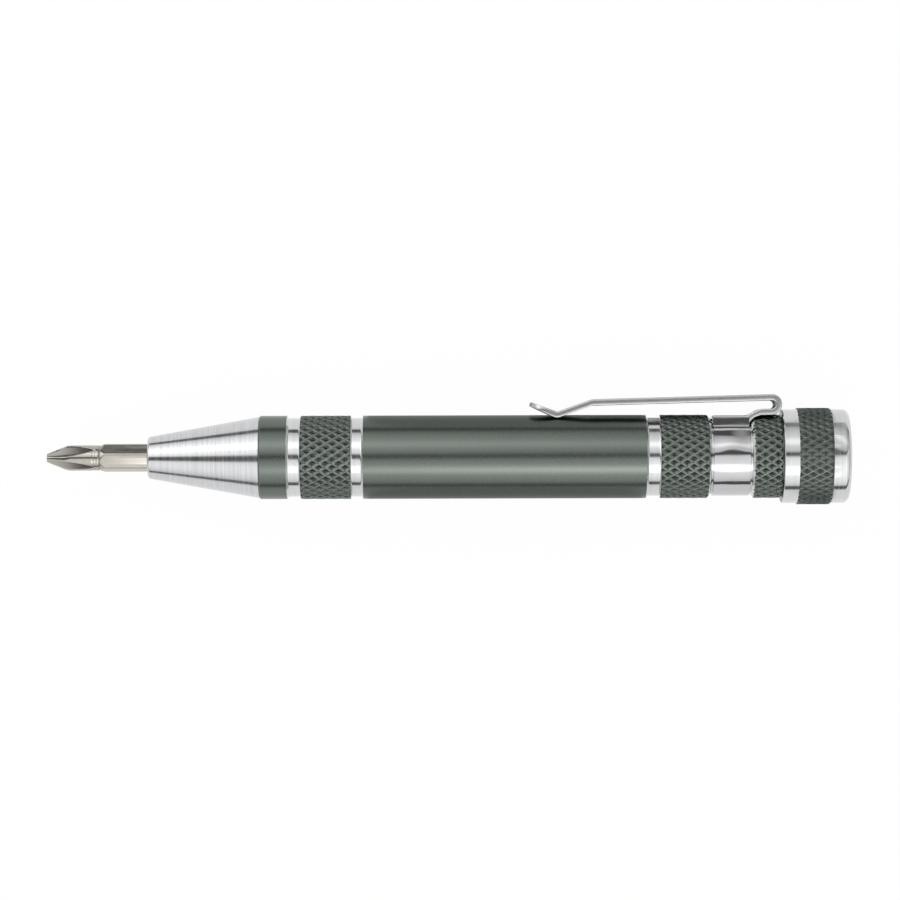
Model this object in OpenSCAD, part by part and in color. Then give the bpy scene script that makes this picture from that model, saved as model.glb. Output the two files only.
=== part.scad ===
// Pocket screwdriver: a turned barrel that stores hexagon bits behind a screw cap, a cone nose with
// a magnetic hexagon socket, and a sprung pocket clip on a collar.
// The tool lies along X. The nose's front face is at the origin, the fitted bit points to -X,
// the cap closes the +X end and the clip stands out to +Y.

/* [Bits] */
// Across-flats size of the hexagon shanks
bit_flats = 4; // [3.6:0.1:4.4]
// Overall length of a bit
bit_length = 28; // [26:0.5:30]
// Length of the working end, from its tip to the full hexagon
point_length = 9.1; // [8:0.1:11]
// How far the fitted bit stands out of the nose
stand_out = 15.9; // [14:0.1:18]
// Roll of the fitted bit about the tool's axis, in degrees
fitted_roll = 107; // [0:1:180]
// Chamfer on the rear end of a shank
bit_chamfer = 0.4; // [0.2:0.05:0.8]
// Slope of the shoulder between point and hexagon, in degrees
shoulder_angle = 25; // [20:1:40]
// Slope of a cross point's cone, in degrees
cross_angle = 22; // [18:1:30]
// Turn of a cross point's flutes from the flats of its shank, in degrees
flute_turn = 6; // [0:1:89]
// Point diameter of the fitted cross bit
cross_2_d = 4; // [3.6:0.1:4]
// Blunt end of the fitted cross bit
cross_2_end = 1.3; // [0.8:0.1:1.8]
// Point diameter of the middle cross bit
cross_1_d = 3.6; // [3:0.1:4]
// Blunt end of the middle cross bit
cross_1_end = 1; // [0.6:0.1:1.4]
// Point diameter of the small cross bit
cross_0_d = 2.8; // [2.2:0.1:3.4]
// Blunt end of the small cross bit
cross_0_end = 0.6; // [0.3:0.05:0.9]
// Point diameter of the fine cross bit
cross_00_d = 2.2; // [1.8:0.1:2.8]
// Blunt end of the fine cross bit
cross_00_end = 0.4; // [0.2:0.05:0.6]
// Blade width of the broad slot bit
slot_4_w = 4; // [3.6:0.1:4]
// Blade thickness of the broad slot bit
slot_4_t = 0.8; // [0.5:0.05:1.2]
// Blade width of the middle slot bit
slot_3_w = 3; // [2.4:0.1:3.4]
// Blade thickness of the middle slot bit
slot_3_t = 0.5; // [0.3:0.05:0.8]
// Blade width of the narrow slot bit
slot_2_w = 2; // [1.7:0.1:2.4]
// Blade thickness of the narrow slot bit
slot_2_t = 0.4; // [0.25:0.05:0.6]
// Blade width of the fine slot bit
slot_1_w = 1.5; // [1.2:0.1:1.7]
// Blade thickness of the fine slot bit
slot_1_t = 0.3; // [0.2:0.05:0.45]

/* [Magazine] */
// Room between neighbouring columns of bits
column_gap = 0.15; // [0.1:0.05:0.4]
// Room between the outer corners of the bits and the bore
bore_gap = 0.2; // [0.1:0.05:0.5]
// Room between one layer of bits and the next
layer_gap = 0.1; // [0.05:0.05:0.5]
// Endwise room left over behind a full column
end_play = 1; // [0.5:0.1:3]

/* [Nose] */
// Length of the bare cone
nose_length = 17.6; // [15.5:0.1:20]
// Wall round the corners of the hexagon socket at the front face
nose_wall = 0.97; // [0.6:0.01:1.4]
// Step from the cone's wide end out to the barrel
nose_step = 0.15; // [0.05:0.05:0.5]
// Rounding of the front edge
nose_round = 0.5; // [0.2:0.1:0.8]
// Chamfer on the wide end
nose_chamfer = 0.35; // [0.1:0.05:0.8]
// Length of the spigot that is pressed into the barrel
spigot_length = 4; // [2.5:0.1:5]
// Room on each flat of the hexagon socket
socket_gap = 0.05; // [0.03:0.01:0.1]
// Chamfer round the mouth of the socket
socket_chamfer = 0.35; // [0.1:0.05:0.5]
// Diameter of the magnet at the bottom of the socket
magnet_d = 4; // [3:0.1:4]
// Thickness of the magnet
magnet_t = 3; // [1.5:0.1:4]

/* [Barrel] */
// Wall of the barrel
barrel_wall = 1.7; // [1.6:0.05:2.5]
// Length of the plain land behind the nose
front_land = 4.4; // [3:0.1:6]
// Width of the bright groove ahead of the front knurl
front_groove = 2; // [1:0.1:3]
// Length of the front knurl
front_knurl = 7.9; // [5:0.1:10]
// Width of the bright groove behind the front knurl
grip_groove = 1.8; // [1:0.1:3]
// Width of the bright groove behind the smooth body
rear_groove = 2.1; // [1:0.1:3]
// Length of the knurl ahead of the clip
middle_knurl = 7.9; // [5:0.1:10]
// Length of the knurl between clip and cap
rear_knurl = 4.7; // [4.2:0.1:7]
// Depth of the bright grooves
groove_depth = 0.37; // [0.2:0.01:0.6]
// Chamfer on the edges of the bright grooves
groove_chamfer = 0.12; // [0.05:0.01:0.3]
// Length of the neck that the cap screws on
neck_length = 7; // [5.5:0.1:8.5]
// Wall of the neck under its plain land
land_wall = 1.15; // [1:0.05:1.4]
// Length of the plain land of the neck
land_length = 1.7; // [1:0.1:2.5]
// Wall of the neck under the crests of its thread
thread_wall = 0.85; // [0.8:0.01:1]
// Wall of the neck in the run-out groove ahead of the thread
runout_wall = 0.45; // [0.35:0.01:0.6]
// Width of that run-out groove
runout_length = 0.6; // [0.4:0.1:1.2]
// Chamfer on the end of the neck
neck_chamfer = 0.35; // [0.1:0.05:0.5]

/* [Clip] */
// Width of the clip's strip
clip_width = 6; // [5:0.1:7]
// Thickness of the sheet
sheet = 0.5; // [0.4:0.05:0.6]
// Height of the strip over its turned edges
edge_height = 0.9; // [0.7:0.05:1]
// Width of the groove that the collar sits in
clip_groove = 6.3; // [5:0.1:8]
// Depth of that groove
clip_groove_depth = 0.9; // [0.8:0.05:1.15]
// Chamfer on the edges of that groove
clip_chamfer = 0.55; // [0.2:0.05:0.7]
// Endwise room of the collar in its groove, at each side
collar_play = 0.2; // [0.1:0.05:0.5]
// Room between the collar and the floor of its groove
collar_gap = 0.05; // [0.03:0.01:0.1]
// Height of the collar's flat saddle above its round
saddle_rise = 0.2; // [0.1:0.05:0.5]
// Slope of the step from the saddle up to the barrel's surface, in degrees
step_angle = 45; // [35:1:55]
// Inside radius of the two bends in that step
step_in_r = 0.3; // [0.1:0.05:0.4]
// Outer radius of the bend that folds the clip back
clip_bend_r = 1.65; // [1.4:0.05:2.2]
// Slope of the arm towards the barrel, in degrees
arm_slope = 2; // [1:0.1:3]
// Length of the straight arm
arm_length = 27.3; // [20:0.1:34]
// Radius of the knee where the arm turns down
knee_r = 3; // [2:0.1:5]
// Slope of the arm below the knee, in degrees
knee_slope = 18; // [12:0.1:25]
// Radius of the bend at the foot
foot_r = 0.6; // [0.4:0.05:1.2]
// Rise of the tip ahead of the foot, in degrees
tip_rise = 18; // [8:1:25]
// Length of the tip ahead of the foot
tip_length = 4.2; // [3:0.1:7]
// Room between the clip and the barrel
clip_gap = 0.06; // [0.04:0.01:0.3]
// Width of the two pressed lines along the arm
line_w = 0.4; // [0.2:0.05:0.6]
// Depth of the pressed lines
line_depth = 0.12; // [0.05:0.01:0.2]
// Distance of each pressed line from the middle of the arm
line_offset = 0.9; // [0.6:0.05:1.5]
// Plain length of the arm at each end of the pressed lines
line_margin = 6; // [3:0.1:9]

/* [Cap] */
// Length of the cap
cap_length = 10.5; // [10:0.1:13]
// Wall of the cap under its knurl
cap_wall = 1.78; // [1.4:0.02:2.4]
// Width of the bright band at the cap's mouth
cap_front_band = 2.35; // [1.5:0.05:3.5]
// Width of the bright band at the cap's end
cap_rear_band = 2.8; // [1.5:0.1:3.5]
// Depth of the bright bands below the knurl
cap_band_depth = 0.2; // [0.1:0.02:0.4]
// Thickness of the closed end
cap_end_wall = 1.8; // [1.2:0.1:2.4]
// Rounding of the rim of the closed end
cap_round = 1; // [0.4:0.1:1.2]
// Chamfer on the edges of the mouth and of the knurl
cap_chamfer = 0.3; // [0.1:0.05:0.5]
// Room between cap and neck, all round
thread_gap = 0.1; // [0.05:0.01:0.15]
// Room between the cap's mouth and the barrel's shoulder
cap_gap = 0.2; // [0.1:0.05:0.5]
// Thickness of the pad inside the closed end
pad_t = 1.2; // [0.6:0.1:1.6]
// Room round the pad
pad_gap = 0.1; // [0.05:0.05:0.3]

/* [Hidden] */
$fn = 96;

// How far every cut runs past the face that it opens
overrun = 0.5;
// Room round a piece that is fixed in its seat
seat_gap = 0.02;
// Number of flat steps in a rounded edge and in a bend of the clip
round_steps = 8;
bend_steps = 12;
// Layers of bits in the magazine, and columns round its axis
layers = 3;
columns = 3;
// Where the columns stand round the axis: the first lies lowest
first_column_angle = -90;

// Share of the sharp corner that a shank keeps after its corners are broken
corner_share = 0.975;
// Share of a cross point's blunt end that is left between its flutes
web_share = 0.55;
// Share of a working end, up to its shoulder, that the flutes or the grind take up
flute_share = 0.92;
grind_share = 0.8;
// Share of the clip's width that rounds each corner of its tip
tip_round_share = 0.4;

// Bits and the bore that holds them
corner_r = corner_share * bit_flats / 2 / cos(30);
column_r = (bit_flats + column_gap) / 2 / sin(180 / columns);
bore_r = column_r + corner_r + bore_gap;
socket_flats = bit_flats + 2 * socket_gap;
socket_r = socket_flats / 2 / cos(30);
socket_depth = bit_length - stand_out;

// Radii of the barrel and its neck
barrel_r = bore_r + barrel_wall;
groove_r = barrel_r - groove_depth;
clip_groove_r = barrel_r - clip_groove_depth;
land_r = bore_r + land_wall;
thread_r = bore_r + thread_wall;
runout_r = bore_r + runout_wall;

// Radii of the nose
nose_front_r = socket_r + nose_wall;
nose_back_r = barrel_r - nose_step;
magnet_seat_r = magnet_d / 2 + seat_gap;

// Radii of the cap
cap_bore_r = thread_r + thread_gap;
cap_mouth_r = land_r + thread_gap;
cap_r = cap_bore_r + cap_wall;
cap_band_r = cap_r - cap_band_depth;

// Stations along the axis, from the nose to the cap
barrel_x = nose_length;
magazine_x = barrel_x + spigot_length;
layer_pitch = bit_length + layer_gap;
pad_x = magazine_x + layers * layer_pitch + end_play;
cap_floor_x = pad_x + pad_t + seat_gap;
cap_end_x = cap_floor_x + cap_end_wall;
cap_x = cap_end_x - cap_length;
neck_x = cap_x - cap_gap;
rear_knurl_x = neck_x - rear_knurl;
clip_groove_x = rear_knurl_x - clip_groove;
rear_groove_x = clip_groove_x - middle_knurl - rear_groove;
front_groove_x = barrel_x + front_land;
grip_groove_x = front_groove_x + front_groove + front_knurl;
neck_end_x = neck_x + neck_length;

// The clip's collar and the places where its strip bends
collar_in_r = clip_groove_r + collar_gap;
collar_r = collar_in_r + sheet;
collar_x = clip_groove_x + collar_play;
collar_length = clip_groove - 2 * collar_play;
saddle_y = collar_r + saddle_rise - sheet;
leg_y = barrel_r + clip_gap;
step_out_r = step_in_r + edge_height;
step_turn = (step_in_r + step_out_r) * (1 - cos(step_angle));
step_run = (leg_y - saddle_y - step_turn) / sin(step_angle);
step_length = (step_in_r + step_out_r) * sin(step_angle) + step_run * cos(step_angle);
leg_x = rear_knurl_x + clip_chamfer + clip_gap;
step_x = leg_x - step_length;
bend_x = cap_x - 2 * clip_gap - clip_bend_r;
hinge_x = bend_x - clip_bend_r * sin(arm_slope);
hinge_y = leg_y + clip_bend_r * (1 + cos(arm_slope));
knee_end_y = hinge_y - arm_length * sin(arm_slope) - knee_r * (cos(arm_slope) - cos(knee_slope));
foot_start_y = barrel_r + clip_gap + sheet + foot_r * (1 - cos(knee_slope));
foot_run = (knee_end_y - foot_start_y) / sin(knee_slope);

// Each step of a bend table: the straight run, then the radius and the angle of the bend after it.
// The first strip steps up from the collar and folds back; the second is the arm, its foot and tip.
FOLD_BENDS = [
    [0, step_out_r, step_angle],
    [step_run, step_in_r, -step_angle],
    [bend_x - leg_x, clip_bend_r, 180 + arm_slope]
];
ARM_BENDS = [
    [arm_length, knee_r, knee_slope - arm_slope],
    [foot_run, foot_r, -knee_slope - tip_rise],
    [tip_length, 0, 0]
];
fold_path = concat([[[step_x, saddle_y], 0]], bend_path(FOLD_BENDS, [step_x, saddle_y], 0));
arm_start = [hinge_x, hinge_y] - seat_gap * [cos(arm_slope), sin(arm_slope)];
arm_path = concat(
    [[arm_start, 180 + arm_slope]], bend_path(ARM_BENDS, arm_start, 180 + arm_slope)
);

// Points of an arc about a centre, from one angle to another
function arc(centre, r, from, to) = [
    for (i = [0 : round_steps])
        let (a = from + (to - from) * i / round_steps) centre + r * [cos(a), sin(a)]
];

// A shape turned about the tool's axis, from an outline of [radius, station] points
module turned(outline) {
    rotate([0, 90, 0]) rotate_extrude() polygon(outline);
}

// A ring to cut from a round piece: a floor with walls that open out in chamfers
module ring_cut(x, w, floor_r, rim_r, chamfer) {
    flare = chamfer + overrun;
    turned([
        [floor_r, x], [floor_r, x + w], [rim_r - chamfer, x + w],
        [rim_r + overrun, x + w + flare], [rim_r + overrun, x - flare], [rim_r - chamfer, x]
    ]);
}

// A hexagon bar along the axis
module hexagon_bar(x, length, flats) {
    translate([x, 0, 0]) rotate([0, 90, 0]) cylinder(h = length, d = flats / cos(30), $fn = 6);
}

// A bit before its point is cut: a round point of two diameters, a shoulder and a hexagon shank
module bit_blank(end_r, cone_length, point_r) {
    shoulder_x = point_length - (corner_r - point_r) / tan(shoulder_angle);
    intersection() {
        turned([
            [0, 0], [end_r, 0], [point_r, cone_length], [point_r, shoulder_x], [corner_r, point_length],
            [corner_r, bit_length - bit_chamfer], [corner_r - bit_chamfer, bit_length], [0, bit_length]
        ]);
        union() {
            hexagon_bar(shoulder_x, bit_length - shoulder_x, bit_flats);
            turned([[0, 0], [point_r, 0], [point_r, shoulder_x + overrun], [0, shoulder_x + overrun]]);
        }
    }
}

// A cross bit, tip at the origin: four flutes run out along its point
module cross_bit(point_d, end_d) {
    point_r = point_d / 2;
    web_r = web_share * end_d / 2;
    flute_length = flute_share * (point_length - (corner_r - point_r) / tan(shoulder_angle));
    flute_slope = atan((point_r - web_r) / flute_length);
    difference() {
        bit_blank(end_d / 2, (point_d - end_d) / 2 / tan(cross_angle), point_r);
        for (side = [0 : 3])
            rotate([flute_turn + 90 * side, 0, 0])
                translate([0, web_r, 0])
                    rotate([0, 0, flute_slope])
                        translate([-overrun, 0, 0])
                            rotate([90, 0, 90])
                                linear_extrude(flute_length + 2 * overrun)
                                    polygon([[0, 0], [point_d, point_d], [point_d, -point_d]]);
    }
}

// A slot bit, tip at the origin: two hollow-ground faces thin its point down to a blade
module slot_bit(blade_w, blade_t) {
    point_r = blade_w / 2;
    grind_length = grind_share * (point_length - (corner_r - point_r) / tan(shoulder_angle));
    grind_depth = point_r - blade_t / 2;
    grind_r = (grind_length ^ 2 + grind_depth ^ 2) / 2 / grind_depth;
    difference() {
        bit_blank(point_r, 0, point_r);
        for (side = [-1, 1])
            translate([0, 0, side * (grind_r + blade_t / 2)])
                rotate([90, 0, 0])
                    cylinder(h = blade_w + 2 * overrun, r = grind_r, center = true);
    }
}

// Places a stored bit in one column and one layer of the magazine, point forward
module stored(column, layer) {
    a = first_column_angle + column * 360 / columns;
    x = magazine_x + layer_gap + layer * layer_pitch;
    color([0.62, 0.6, 0.57])
        translate([x, column_r * cos(a), column_r * sin(a)])
            children();
}

// Points along a formed strip's outer face, each with the heading there, from a bend table.
// A bend with a positive angle turns left, to the side that the strip's thickness lies on.
function bend_path(bends, at, heading, i = 0) =
    i == len(bends) ? [] :
    let (
        run = bends[i][0],
        r = bends[i][1],
        angle = bends[i][2],
        start = at + run * [cos(heading), sin(heading)],
        centre = start + sign(angle) * r * [-sin(heading), cos(heading)],
        headings = angle == 0 ? [heading] :
            [for (k = [run > 0 ? 0 : 1 : bend_steps]) heading + angle * k / bend_steps],
        points = [for (h = headings) [centre + sign(angle) * r * [sin(h), -cos(h)], h]]
    )
    concat(points, bend_path(bends, points[len(points) - 1][0], heading + angle, i + 1));

// Side view of a formed strip: its path, and the same path moved in by a thickness
function strip_outline(path, t) = concat(
    [for (p = path) p[0]],
    [for (i = [len(path) - 1 : -1 : 0]) path[i][0] + t * [-sin(path[i][1]), cos(path[i][1])]]
);

// A strip of a given side view, centred on the clip's middle plane
module strip(w, z = 0) {
    translate([0, 0, z]) linear_extrude(w, center = true) children();
}

// What rounds one corner of the arm's tip in plan
module tip_corner(side) {
    r = tip_round_share * clip_width;
    tip = arm_path[len(arm_path) - 1][0];
    translate([tip[0] + r, tip[1], side * (clip_width / 2 - r)])
        rotate([90, 0, 0])
            linear_extrude(2 * clip_width, center = true)
                difference() {
                    translate([-r - overrun, side > 0 ? 0 : -r - overrun])
                        square([r + overrun, r + overrun]);
                    circle(r);
                }
}

// One of the two pressed lines along the arm
module pressed_line(side) {
    translate([hinge_x, hinge_y, 0])
        rotate([0, 0, 180 + arm_slope])
            translate([line_margin, -overrun, side * line_offset - line_w / 2])
                cube([arm_length - 2 * line_margin, overrun + line_depth, line_w]);
}

module barrel() {
    land_end_x = neck_x + land_length;
    thread_x = land_end_x + runout_length;
    color([0.3, 0.33, 0.31])
        difference() {
            turned([
                [bore_r, barrel_x],
                [barrel_r - groove_chamfer, barrel_x],
                [barrel_r, barrel_x + groove_chamfer],
                [barrel_r, neck_x - groove_chamfer],
                [barrel_r - groove_chamfer, neck_x],
                [land_r, neck_x],
                [land_r, land_end_x],
                [runout_r, land_end_x],
                [runout_r, thread_x],
                [thread_r, thread_x],
                [thread_r, neck_end_x - neck_chamfer],
                [thread_r - neck_chamfer, neck_end_x],
                [bore_r, neck_end_x]
            ]);
            ring_cut(front_groove_x, front_groove, groove_r, barrel_r, groove_chamfer);
            ring_cut(grip_groove_x, grip_groove, groove_r, barrel_r, groove_chamfer);
            ring_cut(rear_groove_x, rear_groove, groove_r, barrel_r, groove_chamfer);
            ring_cut(clip_groove_x, clip_groove, clip_groove_r, barrel_r, clip_chamfer);
        }
}

module nose_cone() {
    cone_angle = atan((nose_back_r - nose_front_r) / nose_length);
    round_centre = [nose_front_r - nose_round, nose_round];
    spigot_r = bore_r - seat_gap;
    color([0.8, 0.8, 0.8])
        difference() {
            turned(concat(
                [[0, 0]],
                arc(round_centre, nose_round, -90, -cone_angle),
                [
                    [nose_back_r, nose_length - nose_chamfer],
                    [nose_back_r - nose_chamfer, nose_length],
                    [spigot_r, nose_length],
                    [spigot_r, magazine_x],
                    [0, magazine_x]
                ]
            ));
            rotate([fitted_roll, 0, 0])
                hexagon_bar(-overrun, socket_depth + overrun, socket_flats);
            turned([
                [0, -overrun], [socket_r + overrun, -overrun],
                [socket_r - socket_chamfer, socket_chamfer], [0, socket_chamfer]
            ]);
            turned([
                [0, 0], [magnet_seat_r, 0],
                [magnet_seat_r, socket_depth + magnet_t + seat_gap],
                [0, socket_depth + magnet_t + seat_gap]
            ]);
        }
}

module bit_magnet() {
    color([0.72, 0.73, 0.75])
        translate([socket_depth + seat_gap, 0, 0])
            rotate([0, 90, 0])
                cylinder(h = magnet_t - seat_gap, d = magnet_d);
}

module clip_collar() {
    side_w = clip_width - 2 * sheet;
    saddle_top = saddle_y + sheet;
    edge_top = leg_y + edge_height;
    color([0.85, 0.85, 0.87]) {
        translate([collar_x, 0, 0])
            rotate([90, 0, 90])
                linear_extrude(collar_length)
                    difference() {
                        union() {
                            circle(collar_r);
                            translate([0, -clip_width / 2]) square([saddle_top, clip_width]);
                        }
                        circle(collar_in_r);
                        translate([0, -side_w / 2]) square([saddle_y, side_w]);
                    }
        strip(clip_width) polygon(strip_outline(fold_path, sheet));
        for (side = [-1, 1])
            strip(sheet, side * (clip_width - sheet) / 2)
                difference() {
                    polygon(strip_outline(fold_path, edge_height));
                    polygon([
                        [step_x - overrun, saddle_top], [step_x, saddle_top], [leg_x, edge_top],
                        [leg_x, edge_top + overrun], [step_x - overrun, edge_top + overrun]
                    ]);
                }
    }
}

module clip_arm() {
    color([0.8, 0.8, 0.82])
        difference() {
            union() {
                strip(clip_width) polygon(strip_outline(arm_path, sheet));
                for (side = [-1, 1])
                    strip(sheet, side * (clip_width - sheet) / 2)
                        polygon(strip_outline(arm_path, edge_height));
            }
            for (side = [-1, 1]) {
                tip_corner(side);
                pressed_line(side);
            }
        }
}

module cap() {
    knurl_x = cap_x + cap_front_band;
    rear_x = cap_end_x - cap_rear_band;
    land_end_x = neck_x + land_length + cap_gap;
    round_centre = [cap_band_r - cap_round, cap_end_x - cap_round];
    color([0.32, 0.35, 0.33])
        difference() {
            turned(concat(
                [
                    [0, cap_x],
                    [cap_band_r - cap_chamfer, cap_x],
                    [cap_band_r, cap_x + cap_chamfer],
                    [cap_band_r, knurl_x],
                    [cap_r, knurl_x],
                    [cap_r, rear_x - cap_chamfer],
                    [cap_r - min(cap_chamfer, cap_band_depth), rear_x],
                    [cap_band_r, rear_x]
                ],
                arc(round_centre, cap_round, 0, 90),
                [[0, cap_end_x]]
            ));
            turned([
                [0, cap_x - overrun], [cap_mouth_r, cap_x - overrun], [cap_mouth_r, land_end_x],
                [cap_bore_r, land_end_x], [cap_bore_r, cap_floor_x], [0, cap_floor_x]
            ]);
        }
}

module cap_pad() {
    color([0.14, 0.14, 0.15])
        translate([pad_x, 0, 0])
            rotate([0, 90, 0])
                cylinder(h = pad_t, r = cap_bore_r - pad_gap);
}

module cross_bit_2() {
    color([0.62, 0.6, 0.57])
        translate([-stand_out, 0, 0])
            rotate([fitted_roll, 0, 0])
                cross_bit(cross_2_d, cross_2_end);
}

module cross_bit_1() {
    stored(0, 0) cross_bit(cross_1_d, cross_1_end);
}

module cross_bit_0() {
    stored(1, 0) cross_bit(cross_0_d, cross_0_end);
}

module cross_bit_00() {
    stored(2, 0) cross_bit(cross_00_d, cross_00_end);
}

module slot_bit_4() {
    stored(0, 1) slot_bit(slot_4_w, slot_4_t);
}

module slot_bit_3() {
    stored(0, 2) slot_bit(slot_3_w, slot_3_t);
}

module slot_bit_2() {
    stored(1, 1) slot_bit(slot_2_w, slot_2_t);
}

module slot_bit_1() {
    stored(2, 1) slot_bit(slot_1_w, slot_1_t);
}

barrel();
nose_cone();
bit_magnet();
clip_collar();
clip_arm();
cap();
cap_pad();
cross_bit_2();
cross_bit_1();
cross_bit_0();
cross_bit_00();
slot_bit_4();
slot_bit_3();
slot_bit_2();
slot_bit_1();
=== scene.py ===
"""Looks of a pocket screwdriver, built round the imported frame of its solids.

Sizes in the classes are millimetres; they turn into metres where a mesh is made. The tool lies along X
with its bit at the -X end, its cap at the +X end and its pocket clip out to +Y.
"""

from __future__ import annotations

import logging
import math
from dataclasses import dataclass, field
from enum import Enum
from typing import Any, Callable, Iterator, Sequence

import bpy
from mathutils import Matrix, Vector

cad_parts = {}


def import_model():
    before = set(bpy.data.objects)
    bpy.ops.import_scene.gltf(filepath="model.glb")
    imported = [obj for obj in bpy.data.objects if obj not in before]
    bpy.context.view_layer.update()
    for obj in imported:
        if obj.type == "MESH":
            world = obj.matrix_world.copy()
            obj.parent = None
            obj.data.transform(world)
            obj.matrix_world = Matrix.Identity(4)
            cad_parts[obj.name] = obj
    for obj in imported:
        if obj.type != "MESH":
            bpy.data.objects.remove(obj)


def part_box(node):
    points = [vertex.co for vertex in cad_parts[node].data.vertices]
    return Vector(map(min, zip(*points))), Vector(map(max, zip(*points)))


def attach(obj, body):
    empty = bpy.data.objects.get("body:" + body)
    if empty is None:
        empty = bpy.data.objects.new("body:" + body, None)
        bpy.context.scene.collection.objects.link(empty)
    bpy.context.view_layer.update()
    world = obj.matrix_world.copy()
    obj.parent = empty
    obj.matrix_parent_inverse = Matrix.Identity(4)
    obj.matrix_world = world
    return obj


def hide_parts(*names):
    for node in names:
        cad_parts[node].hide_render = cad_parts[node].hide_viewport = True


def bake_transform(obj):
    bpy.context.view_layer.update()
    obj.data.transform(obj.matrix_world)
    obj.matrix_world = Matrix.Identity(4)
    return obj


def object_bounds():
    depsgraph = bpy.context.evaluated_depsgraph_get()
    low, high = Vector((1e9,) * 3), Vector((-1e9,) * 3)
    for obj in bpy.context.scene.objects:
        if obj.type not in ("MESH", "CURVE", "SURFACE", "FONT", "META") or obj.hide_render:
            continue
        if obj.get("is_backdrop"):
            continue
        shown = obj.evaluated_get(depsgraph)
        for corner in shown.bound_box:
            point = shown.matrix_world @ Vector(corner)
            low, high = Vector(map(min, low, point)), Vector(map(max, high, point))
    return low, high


LOG = logging.getLogger("pocket_screwdriver")
MM = 0.001
RELIEF = "relief"
SHARP_EDGE = math.radians(28)

Radius = float | Callable[[float], float]
Bend = tuple[float, float, float]
Bends = tuple[tuple[float, float], ...]
Rise = tuple[float, float, float, float]
Outline = list[tuple[float, float]]
Corners = list[tuple[float, float, float]]


class Slot(Enum):
    """Material slots."""

    ANODISED = "anodised_aluminium"
    BARE = "bare_aluminium"
    CLIP = "plated_clip"
    BIT = "bit_steel"
    MAGNET = "magnet"
    PAD = "pad_foam"


class Point(Enum):
    """Kinds of a bit's working end."""

    CROSS = "cross"
    BLADE = "blade"


class Signal:
    """A shader value that Python's operators work on, each adding its Math node."""

    def __init__(self, shader: Shader, socket: bpy.types.NodeSocket) -> None:
        """Wraps one output socket of a shader's tree."""
        self.shader = shader
        self.socket = socket

    def _math(self, operation: str, first: Any, second: Any) -> Signal:
        """Adds one Math node."""
        return self.shader.node("ShaderNodeMath", {"operation": operation}, {0: first, 1: second})

    def __add__(self, other: Any) -> Signal:
        """Sum."""
        return self._math("ADD", self, other)

    __radd__ = __add__

    def __sub__(self, other: Any) -> Signal:
        """Difference."""
        return self._math("SUBTRACT", self, other)

    def __rsub__(self, other: Any) -> Signal:
        """Difference from a number."""
        return self._math("SUBTRACT", other, self)

    def __mul__(self, other: Any) -> Signal:
        """Product."""
        return self._math("MULTIPLY", self, other)

    __rmul__ = __mul__

    def __truediv__(self, other: Any) -> Signal:
        """Quotient."""
        return self._math("DIVIDE", self, other)

    def __pow__(self, other: Any) -> Signal:
        """Power."""
        return self._math("POWER", self, other)

    def __abs__(self) -> Signal:
        """Size without its sign."""
        return self._math("ABSOLUTE", self, 0.0)

    def above(self, floor: float) -> Signal:
        """The value, or a floor where it is lower."""
        return self._math("MAXIMUM", self, floor)

    def held(self) -> Signal:
        """The value kept between 0 and 1."""
        return self.shader.node("ShaderNodeClamp", {}, {"Value": self})


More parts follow.
